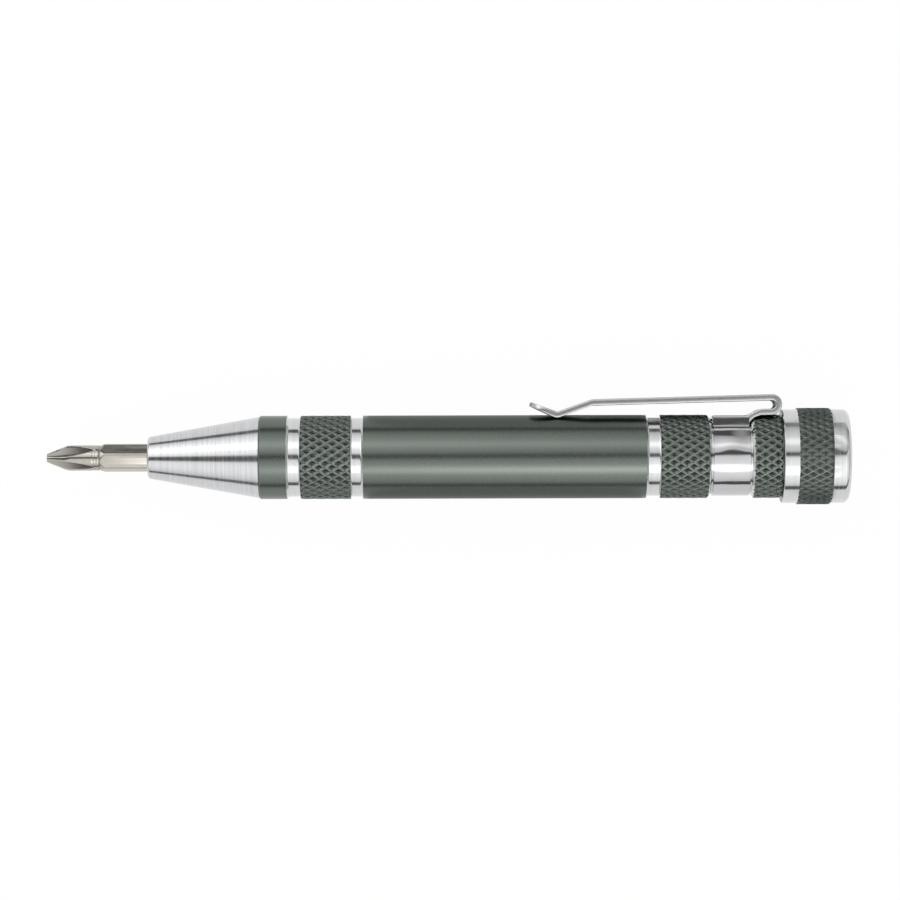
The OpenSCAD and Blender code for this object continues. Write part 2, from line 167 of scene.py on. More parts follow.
class Shader:
    """A node tree and the few ways in which this script fills it."""

    def __init__(self, tree: bpy.types.NodeTree) -> None:
        """Starts from an empty tree."""
        self.tree = tree
        self.tree.nodes.clear()

    def node(
        self,
        kind: str,
        settings: dict[str, Any] | None = None,
        inputs: dict[int | str, Any] | None = None,
        out: int | str = 0,
    ) -> Signal:
        """Makes any node.

        Args:
            kind: the node's type.
            settings: its properties, set before its sockets.
            inputs: values or signals by socket name or number.
            out: the output to hand back.

        Returns:
            The chosen output as a signal.
        """
        made = self.tree.nodes.new(kind)
        for key, value in (settings or {}).items():
            setattr(made, key, value)
        for key, value in (inputs or {}).items():
            socket = made.inputs[key]
            if isinstance(value, Signal):
                self.tree.links.new(value.socket, socket)
            elif isinstance(value, tuple) and socket.type == "RGBA":
                socket.default_value = (*value, 1)
            else:
                socket.default_value = value
        return Signal(self, made.outputs[out]) if made.outputs else Signal(self, None)

    def place(self) -> Signal:
        """The surface point in the row frame, in metres."""
        return self.node("ShaderNodeTexCoord", out="Object")

    def split(self, place: Signal) -> list[Signal]:
        """The three parts of a place."""
        parts = self.node("ShaderNodeSeparateXYZ", {}, {0: place}).socket.node.outputs
        return [Signal(self, part) for part in parts]

    def stretched(self, place: Signal, sizes: tuple[float, float, float]) -> Signal:
        """Places measured in feature sizes, given in millimetres along X, Y and Z."""
        scale = tuple(1 / (size * MM) for size in sizes)
        return self.node("ShaderNodeVectorMath", {"operation": "MULTIPLY"}, {0: place, 1: scale})

    def noise(self, place: Signal, detail: float = 2) -> Signal:
        """Soft noise whose features are one unit of the place wide."""
        return self.node("ShaderNodeTexNoise", {}, {"Vector": place, "Scale": 1, "Detail": detail})

    def mix(self, share: Any, first: Any, second: Any) -> Signal:
        """A colour between two colours."""
        settings = {"data_type": "RGBA"}
        return self.node("ShaderNodeMix", settings, {0: share, 6: first, 7: second}, 2)

    def bump(self, height: Signal, depth: float, under: Signal | None = None) -> Signal:
        """A surface normal from a height.

        Args:
            height: the height, from 0 to 1.
            depth: what a height of 1 stands for, in millimetres.
            under: a normal that this one lies on.

        Returns:
            The bumped normal.
        """
        inputs: dict[int | str, Any] = {"Strength": 1, "Distance": depth * MM, "Height": height}
        if under:
            inputs["Normal"] = under
        return self.node("ShaderNodeBump", {}, inputs)

    def surface(self, inputs: dict[int | str, Any]) -> None:
        """Ends the tree in one principled surface."""
        shade = self.node("ShaderNodeBsdfPrincipled", {}, inputs)
        self.node("ShaderNodeOutputMaterial", {}, {"Surface": shade})

    def shine(self, colour: Any) -> None:
        """Ends the tree in a surface that shines by itself."""
        glow = self.node("ShaderNodeEmission", {}, {"Color": colour, "Strength": 1.0})
        self.node("ShaderNodeOutputMaterial", {}, {"Surface": glow})


@dataclass(frozen=True)
class Finish:
    """One surface finish, turned into a material by its own paint method."""

    name: str
    tint: tuple[float, float, float]
    roughness: float

    def paint(self, shader: Shader) -> None:
        """Fills the material's tree; each finish has its own."""
        raise NotImplementedError

    def between(self, shader: Shader, share: Signal, tones: tuple[float, float]) -> Signal:
        """A colour between two tones of the finish."""
        return shader.mix(share, self.shade(tones[0]), self.shade(tones[1]))

    def material(self) -> bpy.types.Material:
        """Makes the material.

        Returns:
            A new material with this finish.
        """
        made = bpy.data.materials.new(self.name)
        made.use_nodes = True
        self.paint(Shader(made.node_tree))
        return made

    def shade(self, share: float) -> tuple[float, float, float]:
        """The finish's colour, made darker or lighter by a share."""
        return tuple(share * value for value in self.tint)


@dataclass(frozen=True)
class Anodised(Finish):
    """Satin dyed oxide on aluminium, with a fine blasted grain, painted shade in knurl pits and painted
    highlights on raised knurl lines.
    """

    grain: float = 0.11
    grain_depth: float = 0.0022
    grain_tones: tuple[float, float] = (0.72, 1.28)
    grain_gloss: float = 0.14
    cloud: float = 5.0
    cloud_share: float = 0.5
    cloud_tone: float = 0.86
    pit_shade_gain: float = 2.4
    pit_shade_start: float = 0.55
    pit_shade_tone: float = 0.42
    pit_gloss: float = 0.12
    highlight_even: float = 0.4
    highlight_tone: float = 1.6
    highlight_gloss: float = 0.06
    edge_tint: float = 0.9

    def paint(self, shader: Shader) -> None:
        """Paints grain and clouds in the dye, painted shade in the pits and painted highlights on the
        raised ridges.

        Args:
            shader: the material's empty shader.
        """
        place = shader.place()
        grain = shader.noise(shader.stretched(place, (self.grain,) * 3), 3)
        cloud = shader.noise(shader.stretched(place, (self.cloud,) * 3))
        relief = shader.node("ShaderNodeAttribute", {"attribute_name": RELIEF}, out="Fac")
        ridge_highlight_mask = relief.above(0)
        pit = (0 - relief).above(0)
        dye = self.between(shader, grain, self.grain_tones)
        dye = shader.mix(cloud * self.cloud_share, dye, self.shade(self.cloud_tone))
        # Painted shade: the deeper parts of the pits are darkened.
        dye = shader.mix((pit * self.pit_shade_gain - self.pit_shade_start).held(), dye, self.shade(self.pit_shade_tone))
        # Painted highlight: the raised ridges are lightened, unevenly with the grain.
        painted_ridge_highlight = ridge_highlight_mask * (grain * (1 - self.highlight_even) + self.highlight_even)
        dye = shader.mix(painted_ridge_highlight, dye, self.shade(self.highlight_tone))
        gloss = (grain - 0.5) * self.grain_gloss - ridge_highlight_mask * self.highlight_gloss + pit * self.pit_gloss
        shader.surface({
            "Base Color": dye,
            "Metallic": 1.0,
            "Roughness": self.roughness + gloss,
            "Specular Tint": (self.edge_tint,) * 3,
            "Normal": shader.bump(grain, self.grain_depth),
        })


@dataclass(frozen=True)
class Turned(Finish):
    """Bare metal with the fine lines of a turning tool round the axis."""

    feed: float = 0.14
    feed_depth: float = 0.0006
    sweep: float = 0.5
    sweep_depth: float = 0.0012
    along: float = 9.0
    streak_gain: float = 1.4
    contrast: float = 0.08
    least_roughness: float = 0.04

    def paint(self, shader: Shader) -> None:
        """Paints lines that follow the station along the axis plus the radius.

        On end faces they turn into rings.

        Args:
            shader: the material's empty shader.
        """
        place = shader.place()
        x, y, z = shader.split(place)
        station = x + (y * y + z * z) ** 0.5
        line_place = shader.node("ShaderNodeCombineXYZ", {}, {0: station, 1: y, 2: z})
        fine = shader.noise(shader.stretched(line_place, (self.feed, self.along, self.along)), 2)
        broad = shader.noise(shader.stretched(line_place, (self.sweep, self.along, self.along)), 3)
        streak = (fine + broad - 1) * self.streak_gain
        metal = self.between(shader, streak + 0.5, (1 - self.contrast, 1 + self.contrast))
        normal = shader.bump(broad, self.sweep_depth, shader.bump(fine, self.feed_depth))
        shader.surface({
            "Base Color": metal,
            "Metallic": 1.0,
            "Roughness": (self.roughness + streak * self.contrast).above(self.least_roughness),
            "Normal": normal,
        })


@dataclass(frozen=True)
class Plated(Finish):
    """Bright plate on sheet metal: gently wavy, with faint rubbing marks."""

    wave: float = 3.2
    wave_run: float = 5.12
    wave_depth: float = 0.012
    mark: float = 0.12
    mark_run: float = 1.44
    mark_depth: float = 0.0004
    mark_tones: tuple[float, float] = (0.9, 1.06)
    mark_gloss: float = 0.08

    def paint(self, shader: Shader) -> None:
        """Paints waves of the pressed sheet under fine marks along the strip.

        Args:
            shader: the material's empty shader.
        """
        place = shader.place()
        wave = shader.noise(shader.stretched(place, (self.wave_run, self.wave, self.wave)), 1)
        mark = shader.noise(shader.stretched(place, (self.mark_run, self.mark, self.mark)), 3)
        shader.surface({
            "Base Color": self.between(shader, mark, self.mark_tones),
            "Metallic": 1.0,
            "Roughness": self.roughness + (mark - 0.5) * self.mark_gloss,
            "Normal": shader.bump(mark, self.mark_depth, shader.bump(wave, self.wave_depth)),
        })


@dataclass(frozen=True)
class DrawnSteel(Finish):
    """Plated tool steel with drawing lines along the shank and painted shade in the cuts."""

    line: float = 0.05
    run: float = 2.4
    line_depth: float = 0.0008
    line_gloss: float = 0.16
    cloud: tuple[float, float, float] = (1.5, 0.8, 0.8)
    cloud_gloss: float = 0.1
    tones: tuple[float, float] = (0.82, 1.12)
    cut_shade_gain: float = 2.2
    cut_shade_start: float = 0.4
    cut_shade: float = 0.3

    def paint(self, shader: Shader) -> None:
        """Paints lines along the axis, soft clouds and painted shade down in the cuts.

        Args:
            shader: the material's empty shader.
        """
        place = shader.place()
        line = shader.noise(shader.stretched(place, (self.run, self.line, self.line)), 3)
        cloud = shader.noise(shader.stretched(place, self.cloud), 3)
        relief = shader.node("ShaderNodeAttribute", {"attribute_name": RELIEF}, out="Fac")
        cut = (0 - relief).above(0)
        steel = self.between(shader, (line + cloud) * 0.5, self.tones)
        # Painted shade: the flutes, grind and ring marks are darkened by how deep they are cut.
        steel = shader.mix((cut * self.cut_shade_gain - self.cut_shade_start).held(), steel, self.shade(self.cut_shade))
        gloss = (line - 0.5) * self.line_gloss + (cloud - 0.5) * self.cloud_gloss
        shader.surface({
            "Base Color": steel,
            "Metallic": 1.0,
            "Roughness": self.roughness + gloss,
            "Normal": shader.bump(line, self.line_depth),
        })


@dataclass(frozen=True)
class Foam(Finish):
    """Matt cellular foam."""

    cell: float = 0.25
    cell_depth: float = 0.06
    cell_tones: tuple[float, float] = (1.3, 0.6)

    def paint(self, shader: Shader) -> None:
        """Paints cells as pits, darker inside.

        Args:
            shader: the material's empty shader.
        """
        cells = shader.stretched(shader.place(), (self.cell,) * 3)
        pit = shader.node("ShaderNodeTexVoronoi", {}, {"Vector": cells, "Scale": 1})
        shader.surface({
            "Base Color": self.between(shader, pit, self.cell_tones),
            "Roughness": self.roughness,
            "Normal": shader.bump(pit, self.cell_depth),
        })


@dataclass
class Ring:
    """One closed loop of a loft.

    Attributes:
        points: places round the loop, or a single one where the loft closes to a tip.
        slot: material number of the faces up to the next ring.
        half: whether the loop is turned by half a step.
        relief: how far each point is raised (1) or cut (-1); the finish paints a highlight on raised
            points and shade in cuts.
    """

    points: list[Vector]
    slot: int = 0
    half: bool = False
    relief: list[float] | None = None


class Loft:
    """Rings joined into one skin."""

    def __init__(self) -> None:
        """Starts with no rings."""
        self.rings: list[Ring] = []
        self.face_slot: Callable[[tuple[int, ...], int], int] | None = None
        self.soft = False

    def add(self, *rings: Ring) -> None:
        """Adds rings at the end."""
        self.rings.extend(rings)

    def _band(self, first: Ring, second: Ring, a: int, b: int) -> Iterator[tuple[int, ...]]:
        """Faces between two rings whose points start at a and at b.

        Args:
            first: ring that the band starts from.
            second: ring that it ends at.
            a: number of the first ring's first point.
            b: number of the second ring's first point.

        Returns:
            Corners of one face after another.
        """
        count = max(len(first.points), len(second.points))
        for j in range(count):
            k = (j + 1) % count
            if len(first.points) == 1:
                yield (a, b + k, b + j)
            elif len(second.points) == 1:
                yield (a + j, a + k, b)
            elif first.half == second.half:
                yield (a + j, a + k, b + k, b + j)
            elif second.half:
                yield (a + j, a + k, b + j)
                yield (a + k, b + k, b + j)
            else:
                yield (a + j, b + k, b + j)
                yield (a + j, a + k, b + k)

    def mesh(self, name: str, wrap: bool = False, ends: bool = False) -> bpy.types.Mesh:
        """Makes the mesh.

        Args:
            name: the mesh's name.
            wrap: whether the last ring joins the first.
            ends: whether the first and last ring are closed by flat faces.

        Returns:
            A smooth mesh with its sharp edges marked.
        """
        starts = [0]
        for ring in self.rings:
            starts.append(starts[-1] + len(ring.points))
        points = [point * MM for ring in self.rings for point in ring.points]
        faces: list[tuple[int, ...]] = []
        slots: list[int] = []
        last = len(self.rings) - (0 if wrap else 1)
        for i in range(last):
            k = (i + 1) % len(self.rings)
            for corners in self._band(self.rings[i], self.rings[k], starts[i], starts[k]):
                faces.append(corners)
                own = self.rings[i].slot
                slots.append(self.face_slot(corners, own) if self.face_slot else own)
        if ends:
            faces.append(tuple(reversed(range(len(self.rings[0].points)))))
            faces.append(tuple(range(starts[-2], starts[-1])))
            slots += [self.rings[0].slot, self.rings[-1].slot]
        mesh = bpy.data.meshes.new(name)
        mesh.from_pydata(points, [], faces)
        mesh.polygons.foreach_set("material_index", slots)
        relief = mesh.attributes.new(RELIEF, "FLOAT", "POINT")
        values = [v for ring in self.rings for v in ring.relief or [0.0] * len(ring.points)]
        relief.data.foreach_set("value", values)
        mesh.shade_smooth()
        mesh.set_sharp_from_angle(angle=SHARP_EDGE)
        if self.soft:
            for edge in mesh.edges:
                if all(values[point] for point in edge.vertices):
                    edge.use_edge_sharp = False
        return mesh


@dataclass(frozen=True)
class Lathe:
    """Turns outlines about the tool's axis with a fixed number of points round it."""

    count: int

    def angle(self, j: int, half: bool = False) -> float:
        """Angle of a point, from +Y towards +Z."""
        return math.tau * (j + 0.5 * half) / self.count

    def ring(self, x: float, radius: Radius, slot: int = 0, half: bool = False) -> Ring:
        """One loop round the axis.

        Args:
            x: station along the axis.
            radius: its radius, or a function of the angle.
            slot: material number of the faces after it.
            half: whether it is turned by half a step.

        Returns:
            The ring; a radius of 0 gives a tip.
        """
        if radius == 0:
            return Ring([Vector((x, 0, 0))], slot)
        points = []
        for j in range(self.count):
            angle = self.angle(j, half)
            r = radius(angle) if callable(radius) else radius
            points.append(Vector((x, r * math.cos(angle), r * math.sin(angle))))
        return Ring(points, slot, half)

    def rings(self, outline: Sequence[tuple[float, float]], slot: int = 0) -> list[Ring]:
        """Loops through the [station, radius] points of an outline."""
        return [self.ring(x, r, slot) for x, r in outline]


def rounded(centre: tuple[float, float], r: float, start: float, end: float, steps: int = 8) -> Outline:
    """Points of an arc in an outline.

    Args:
        centre: station and radius of its centre.
        r: its radius.
        start: first angle in degrees, from the radius direction towards +X.
        end: last angle.
        steps: number of steps between them.

    Returns:
        [station, radius] points.
    """
    angles = [math.radians(start + (end - start) * i / steps) for i in range(steps + 1)]
    return [(centre[0] + r * math.sin(a), centre[1] + r * math.cos(a)) for a in angles]


def clamp(value: float) -> float:
    """The value kept between 0 and 1."""
    return max(0.0, min(1.0, value))


def soft_min(first: float, second: float, blend: float) -> float:
    """The smaller of two values, with the crossing rounded over a blend."""
    share = clamp(0.5 + 0.5 * (second - first) / blend)
    return second + (first - second) * share - blend * share * (1 - share)


def hexagon(flats: float, angle: float) -> float:
    """Radius of a hexagon at an angle from one of its corners."""
    sixth = math.radians(60)
    return flats / 2 / math.cos(angle % sixth - sixth / 2)


def turned(name: str, count: int, outline: Outline) -> bpy.types.Mesh:
    """Makes a solid of one outline.

    Args:
        name: the mesh's name.
        count: points round the axis.
        outline: [station, radius] points from one tip to the other.

    Returns:
        A closed mesh.
    """
    loft = Loft()
    loft.add(*Lathe(count).rings(outline))
    return loft.mesh(name)


@dataclass(frozen=True)
class Knurl:
    """A pressed diamond knurl: raised lines that cross, with pits between them.

    Attributes:
        starts: lines of each direction round the axis.
        pitch: distance along the axis between crossings.
        depth: depth of the pits.
        sharp: width of the rising lines as a share of their spacing.
        broad: width of the falling lines.
        sink: how far the falling lines stay below the rising ones, as a share of the depth.
        steps: mesh steps between two lines.
        tone: how strongly the pits count as cut, which the finish paints as shade.
    """

    starts: int
    pitch: float
    depth: float
    sharp: float
    broad: float
    sink: float
    steps: int = 10
    tone: float = 1.0

    @property
    def lathe(self) -> Lathe:
        """The lathe whose points fall on the knurl's lines."""
        return Lathe(self.starts * self.steps)

    def cut(self, along: float, angle: float) -> float:
        """Share of the full depth that is cut at a place.

        Args:
            along: distance from the knurl's start, in pitches.
            angle: angle round the axis.

        Returns:
            0 on a raised line, 1 in the middle of a pit.
        """
        turn = angle * self.starts / math.tau
        shares = []
        for place, land, sink in ((turn + along, self.sharp, 0.0), (turn - along, self.broad, self.sink)):
            away = 2 * abs(place - round(place))
            shares.append(max(sink, (away - land) / (1 - land)))
        return min(shares)

    def rings(
        self, start: float, end: float, radius: float, edges: tuple[float, float], chamfer: float
    ) -> list[Ring]:
        """Loops of a knurled band.

        Args:
            start: its first station.
            end: its last station.
            radius: radius over its raised lines.
            edges: how far the first and the last loop lie below that radius.
            chamfer: rise of the chamfers for each millimetre along the axis.

        Returns:
            The loops, every other one turned by half a step.
        """
        rows = round((end - start) / self.pitch * 2 * self.steps)
        loops = []
        for i in range(rows + 1):
            x = start + (end - start) * i / rows
            rim = radius - max(0.0, edges[0] - chamfer * (x - start), edges[1] - chamfer * (end - x))
            ring = self.lathe.ring(x, radius, half=bool(i % 2))
            relief = []
            for j, point in enumerate(ring.points):
                share = self.cut(i / 2 / self.steps, self.lathe.angle(j, ring.half))
                r = min(rim, radius - self.depth * share)
                point.y *= r / radius
                point.z *= r / radius
                # Painted light: a rising line gets 1 for a painted highlight, a pit its depth for painted
                # shade.
                level = 1.0 if share == 0 else -share * self.tone
                relief.append(level if r < rim or rim == radius else 0.0)
            ring.relief = relief
            loops.append(ring)
        return loops


@dataclass(frozen=True)
class Thread:
    """A right-hand screw thread about the tool's axis."""

    pitch: float = 1.0
    depth: float = 0.42
    flank: float = 2.6
    crest_land: float = 0.15
    steps: int = 12

    def rings(self, lathe: Lathe, start: float, end: float, crest: float, rim: float) -> list[Ring]:
        """Loops of a threaded length, from one station to the other.

        Args:
            lathe: what turns the loops.
            start: first station; the last one may lie on either side of it.
            end: last station.
            crest: radius that the profile hangs from.
            rim: how far the thread fades out at the last station.

        Returns:
            The loops.
        """
        rows = round(abs(end - start) / self.pitch * self.steps)
        loops = []
        for i in range(rows + 1):
            x = start + (end - start) * i / rows
            fade = min(1.0, 2 * min(abs(x - start), abs(x - end)) / rim)

            def radius(angle: float, x: float = x, fade: float = fade) -> float:
                """Truncated thread profile.

                Args:
                    angle: angle round the axis.
                    x: station along the axis.
                    fade: share of the thread's depth at that station.

                Returns:
                    The radius at that place.
                """
                phase = (x / self.pitch - angle / math.tau) % 1
                share = clamp(self.flank * abs(phase - 0.5) - self.crest_land)
                return crest - self.depth * share * fade

            loops.append(lathe.ring(x, radius))
        return loops


def add_piece(name: str, mesh: bpy.types.Mesh, *materials: bpy.types.Material) -> bpy.types.Object:
    """Puts a mesh into the scene with its materials.

    Args:
        name: the piece's name.
        mesh: its mesh, in the row frame.
        materials: its materials in the order of the mesh's slot numbers.

    Returns:
        The new object.
    """
    for material in materials:
        mesh.materials.append(material)
    piece = bpy.data.objects.new(name, mesh)
    bpy.context.collection.objects.link(piece)
    LOG.info("%s: %d points, %d faces", name, len(mesh.vertices), len(mesh.polygons))
    return piece


def settle(piece: bpy.types.Object, body: str, slot: Slot, *nodes: str) -> None:
    """Lets a piece ride on a body and stand for CAD nodes.

    Args:
        piece: the dressed piece.
        body: the body that it moves with.
        slot: a material slot; not used.
        nodes: the nodes that it stands for.
    """
    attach(piece, body)
    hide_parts(*nodes)


def box_mm(node: str) -> tuple[Vector, Vector]:
    """Lowest and highest corner of a CAD node, in millimetres."""
    low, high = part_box(node)
    return Vector(low) / MM, Vector(high) / MM


@dataclass
class Finishes:
    """The materials, made once and shared by the pieces."""

    anodised: bpy.types.Material
    cap: bpy.types.Material
    bare: bpy.types.Material
    cone: bpy.types.Material
    collar: bpy.types.Material
    spring: bpy.types.Material
    bit: bpy.types.Material
    magnet: bpy.types.Material
    foam: bpy.types.Material

    @classmethod
    def make(cls) -> Finishes:
        """Makes every finish of the tool.

        Returns:
            The finishes, each with its material.
        """
        return cls(
            anodised=Anodised("gunmetal_anodised", (0.152, 0.173, 0.156), 0.25).material(),
            # The cap's anodised finish is a darker copy of the barrel's: painted shade.
            cap=Anodised("gunmetal_anodised_shaded_cap", (0.118, 0.134, 0.121), 0.25).material(),
            bare=Turned("bright_cut_bands", (0.62, 0.625, 0.63), 0.13).material(),
            cone=Turned(
                "turned_cone", (0.6, 0.605, 0.615), 0.16, feed=0.05, sweep=0.14, contrast=0.16
            ).material(),
            collar=Plated("bright_plated_collar", (0.53, 0.532, 0.54), 0.09, wave_depth=0.05).material(),
            spring=Plated("satin_plated_spring", (0.53, 0.535, 0.54), 0.24, wave_depth=0.004).material(),
            bit=DrawnSteel("nickelled_bit_steel", (0.43, 0.412, 0.375), 0.14).material(),
            magnet=DrawnSteel("plated_magnet", (0.66, 0.67, 0.69), 0.3).material(),
            foam=Foam("pad_foam", (0.045, 0.045, 0.05), 0.9).material(),
        )


@dataclass
class Barrel:
    """The turned tube: bright grooves, knurled bands, the clip's groove and the screwed neck."""

    front_land: float = 4.4
    front_groove: float = 2.0
    front_knurl: float = 7.9
    grip_groove: float = 1.8
    rear_groove: float = 2.1
    middle_knurl: float = 7.9
    clip_groove: float = 6.3
    rear_knurl: float = 4.7
    groove_depth: float = 0.37
    groove_chamfer: float = 0.12
    groove_fillet: float = 0.24
    groove_guard: float = 0.05
    fillet_steps: int = 5
    bright_share: float = 1.5
    clip_groove_depth: float = 0.9
    clip_chamfer: float = 0.55
    wall: float = 1.7
    neck_length: float = 7.0
    land_length: float = 1.7
    land_wall: float = 1.15
    thread_wall: float = 0.85
    runout_wall: float = 0.45
    runout_length: float = 0.6
    neck_chamfer: float = 0.35
    knurl: Knurl = field(default_factory=lambda: Knurl(31, 2.04, 0.44, 0.03, 0.08, 0.2, steps=11))
    thread: Thread = field(default_factory=Thread)
    radius: float = field(default=0.0, init=False)

    def groove(self, lathe: Lathe, x: float, width: float) -> list[Ring]:
        """Floor of a bright groove with its rounded corners.

        Args:
            lathe: what turns the loops.
            x: station of its front wall.
            width: distance to its rear wall.

        Returns:
            The loops in order along the axis.
        """
        fillet, guard, steps = self.groove_fillet, self.groove_guard, self.fillet_steps
        floor = self.radius - self.groove_depth
        front = rounded((x + fillet, floor + fillet), fillet, -90, -180, steps)
        flat = [(x + fillet + guard, floor), (x + width - fillet - guard, floor)]
        rear = rounded((x + width - fillet, floor + fillet), fillet, 180, 90, steps)
        return lathe.rings(front + flat + rear, 1)

    def edge(self, lathe: Lathe, x: float, side: int) -> list[Ring]:
        """Bright chamfer between a plain length and a groove.

        Args:
            lathe: what turns the loops.
            x: station of the groove's wall.
            side: -1 where the plain length lies ahead of the groove, 1 behind it.

        Returns:
            The two loops, in order along the axis.
        """
        cut = self.groove_chamfer
        loops = lathe.rings([(x, self.radius - cut), (x + side * cut, self.radius)], 1)
        if side > 0:
            loops[1].slot = 0
            return loops
        return loops[::-1]

    def build(self) -> bpy.types.Mesh:
        """Makes the barrel's skin.

        Returns:
            A closed mesh: slot 0 is anodised, slot 1 bright.
        """
        low, high = box_mm("barrel")
        self.radius = high.z
        bore = self.radius - self.wall
        lathe = self.knurl.lathe
        loft = Loft()
        cut = self.groove_chamfer
        neck = high.x - self.neck_length
        rear = neck - self.rear_knurl
        clip = rear - self.clip_groove
        back = clip - self.middle_knurl - self.rear_groove
        front = low.x + self.front_land
        grip = front + self.front_groove + self.front_knurl
        clip_floor = self.radius - self.clip_groove_depth

        loft.add(*lathe.rings([(low.x, bore), (low.x, self.radius - cut), (low.x + cut, self.radius)]))
        loft.add(*self.edge(lathe, front, -1), *self.groove(lathe, front, self.front_groove))
        loft.add(*self.knurl.rings(front + self.front_groove, grip, self.radius, (cut, cut), 1))
        loft.add(*self.groove(lathe, grip, self.grip_groove))
        loft.add(*self.edge(lathe, grip + self.grip_groove, 1), *self.edge(lathe, back, -1))
        loft.add(*self.groove(lathe, back, self.rear_groove))
        edges = (cut, self.clip_chamfer)
        loft.add(*self.knurl.rings(back + self.rear_groove, clip, self.radius, edges, 1))
        loft.add(*lathe.rings([(clip, clip_floor), (rear, clip_floor)], 1))
        loft.add(*self.knurl.rings(rear, neck, self.radius, edges[::-1], 1))
        loft.add(*self.neck(lathe, neck, high.x, bore))
        loft.face_slot = self.face_slots(loft)
        loft.soft = True
        return loft.mesh("barrel", wrap=True)

    def neck(self, lathe: Lathe, x: float, end: float, bore: float) -> list[Ring]:
        """Loops of the neck: plain land, run-out groove, thread and end.

        Args:
            lathe: what turns the loops.
            x: station of the barrel's shoulder.
            end: station of the neck's end.
            bore: radius of the magazine.

        Returns:
            The loops up to the neck's inner edge.
        """
        land = x + self.land_length
        start = land + self.runout_length
        crest = bore + self.thread_wall
        chamfer = self.neck_chamfer
        loops = lathe.rings([
            (x, bore + self.land_wall), (land, bore + self.land_wall),
            (land, bore + self.runout_wall), (start, bore + self.runout_wall),
        ])
        loops += self.thread.rings(lathe, start, end - chamfer, crest, self.thread.pitch)
        return loops + lathe.rings([(end, crest - chamfer), (end, bore)])

    def face_slots(self, loft: Loft) -> Callable[[tuple[int, ...], int], int]:
        """Says which faces of the knurls' ends are bright chamfers.

        Args:
            loft: the finished list of loops.

        Returns:
            A function of a face's corners and its own slot.
        """
        limit = self.radius - self.groove_chamfer * self.bright_share
        plain: list[bool] = []
        for ring in loft.rings:
            for i, point in enumerate(ring.points):
                level = ring.relief[i] if ring.relief else 1.0
                plain.append(level == 0 and math.hypot(point.y, point.z) < limit)

        def slot(corners: tuple[int, ...], own: int) -> int:
            """Bright where most corners lie on a chamfer."""
            return 1 if sum(plain[c] for c in corners) > 1 else own

        return slot

    def dress(self, finishes: Finishes) -> None:
        """Builds, paints and seats the barrel."""
        piece = add_piece("barrel_tube", self.build(), finishes.anodised, finishes.bare)
        settle(piece, "barrel", Slot.ANODISED, "barrel")


@dataclass
class Nose:
    """The bare cone with its hexagon socket, and the magnet at the socket's bottom."""

    length: float = 17.6
    front_radius: float = 3.337
    back_step: float = 0.15
    front_round: float = 0.5
    back_chamfer: float = 0.1
    socket_flats: float = 4.1
    socket_depth: float = 12.1
    socket_chamfer: float = 0.35
    seat_gap: float = 0.02
    roll: float = 105.5
    magnet_edge: float = 0.2
    magnet_count: int = 96
    count: int = 240

    def rolled(self, flats: float) -> Callable[[float], float]:
        """Radius of the rolled hexagon as a function of the angle."""
        return lambda angle: hexagon(flats, angle - math.radians(self.roll - 90))

    def build(self, outer: float) -> bpy.types.Mesh:
        """Makes the cone.

        Args:
            outer: the barrel's radius.

        Returns:
            A closed mesh with the open socket.
        """
        low, high = box_mm("nose_cone")
        magnet = box_mm("bit_magnet")[1]
        seat = magnet.z + self.seat_gap
        back = outer - self.back_step
        spigot = outer - Barrel.wall - self.seat_gap
        slope = math.degrees(math.atan((back - self.front_radius) / self.length))
        lathe = Lathe(self.count)
        socket = self.rolled(self.socket_flats)
        mouth = self.rolled(self.socket_flats + 2 * self.socket_chamfer)
        loft = Loft()
        loft.add(lathe.ring(magnet.x + self.seat_gap, 0))
        loft.add(*lathe.rings([(magnet.x + self.seat_gap, seat), (self.socket_depth, seat)]))
        loft.add(lathe.ring(self.socket_depth, socket), lathe.ring(self.socket_chamfer, socket))
        loft.add(lathe.ring(low.x, mouth))
        centre = (low.x + self.front_round, self.front_radius - self.front_round)
        loft.add(*lathe.rings(rounded(centre, self.front_round, -90, -slope)))
        loft.add(*lathe.rings([
            (low.x + self.length - self.back_chamfer, back),
            (low.x + self.length, back - self.back_chamfer),
            (low.x + self.length, spigot), (high.x, spigot), (high.x, 0),
        ]))
        return loft.mesh("nose_cone")

    def build_magnet(self) -> bpy.types.Mesh:
        """Makes the magnet.

        Returns:
            A puck with broken edges.
        """
        low, high = box_mm("bit_magnet")
        edge = self.magnet_edge
        return turned("bit_magnet", self.magnet_count, [
            (low.x, 0), (low.x, high.z - edge), (low.x + edge, high.z),
            (high.x - edge, high.z), (high.x, high.z - edge), (high.x, 0),
        ])

    def dress(self, finishes: Finishes) -> None:
        """Builds, paints and seats the cone and the magnet.

        Args:
            finishes: the tool's materials.
        """
        cone = add_piece("nose_turned_cone", self.build(box_mm("barrel")[1].z), finishes.cone)
        settle(cone, "barrel", Slot.BARE, "nose_cone")
        magnet = add_piece("socket_magnet", self.build_magnet(), finishes.magnet)
        settle(magnet, "barrel", Slot.MAGNET, "bit_magnet")


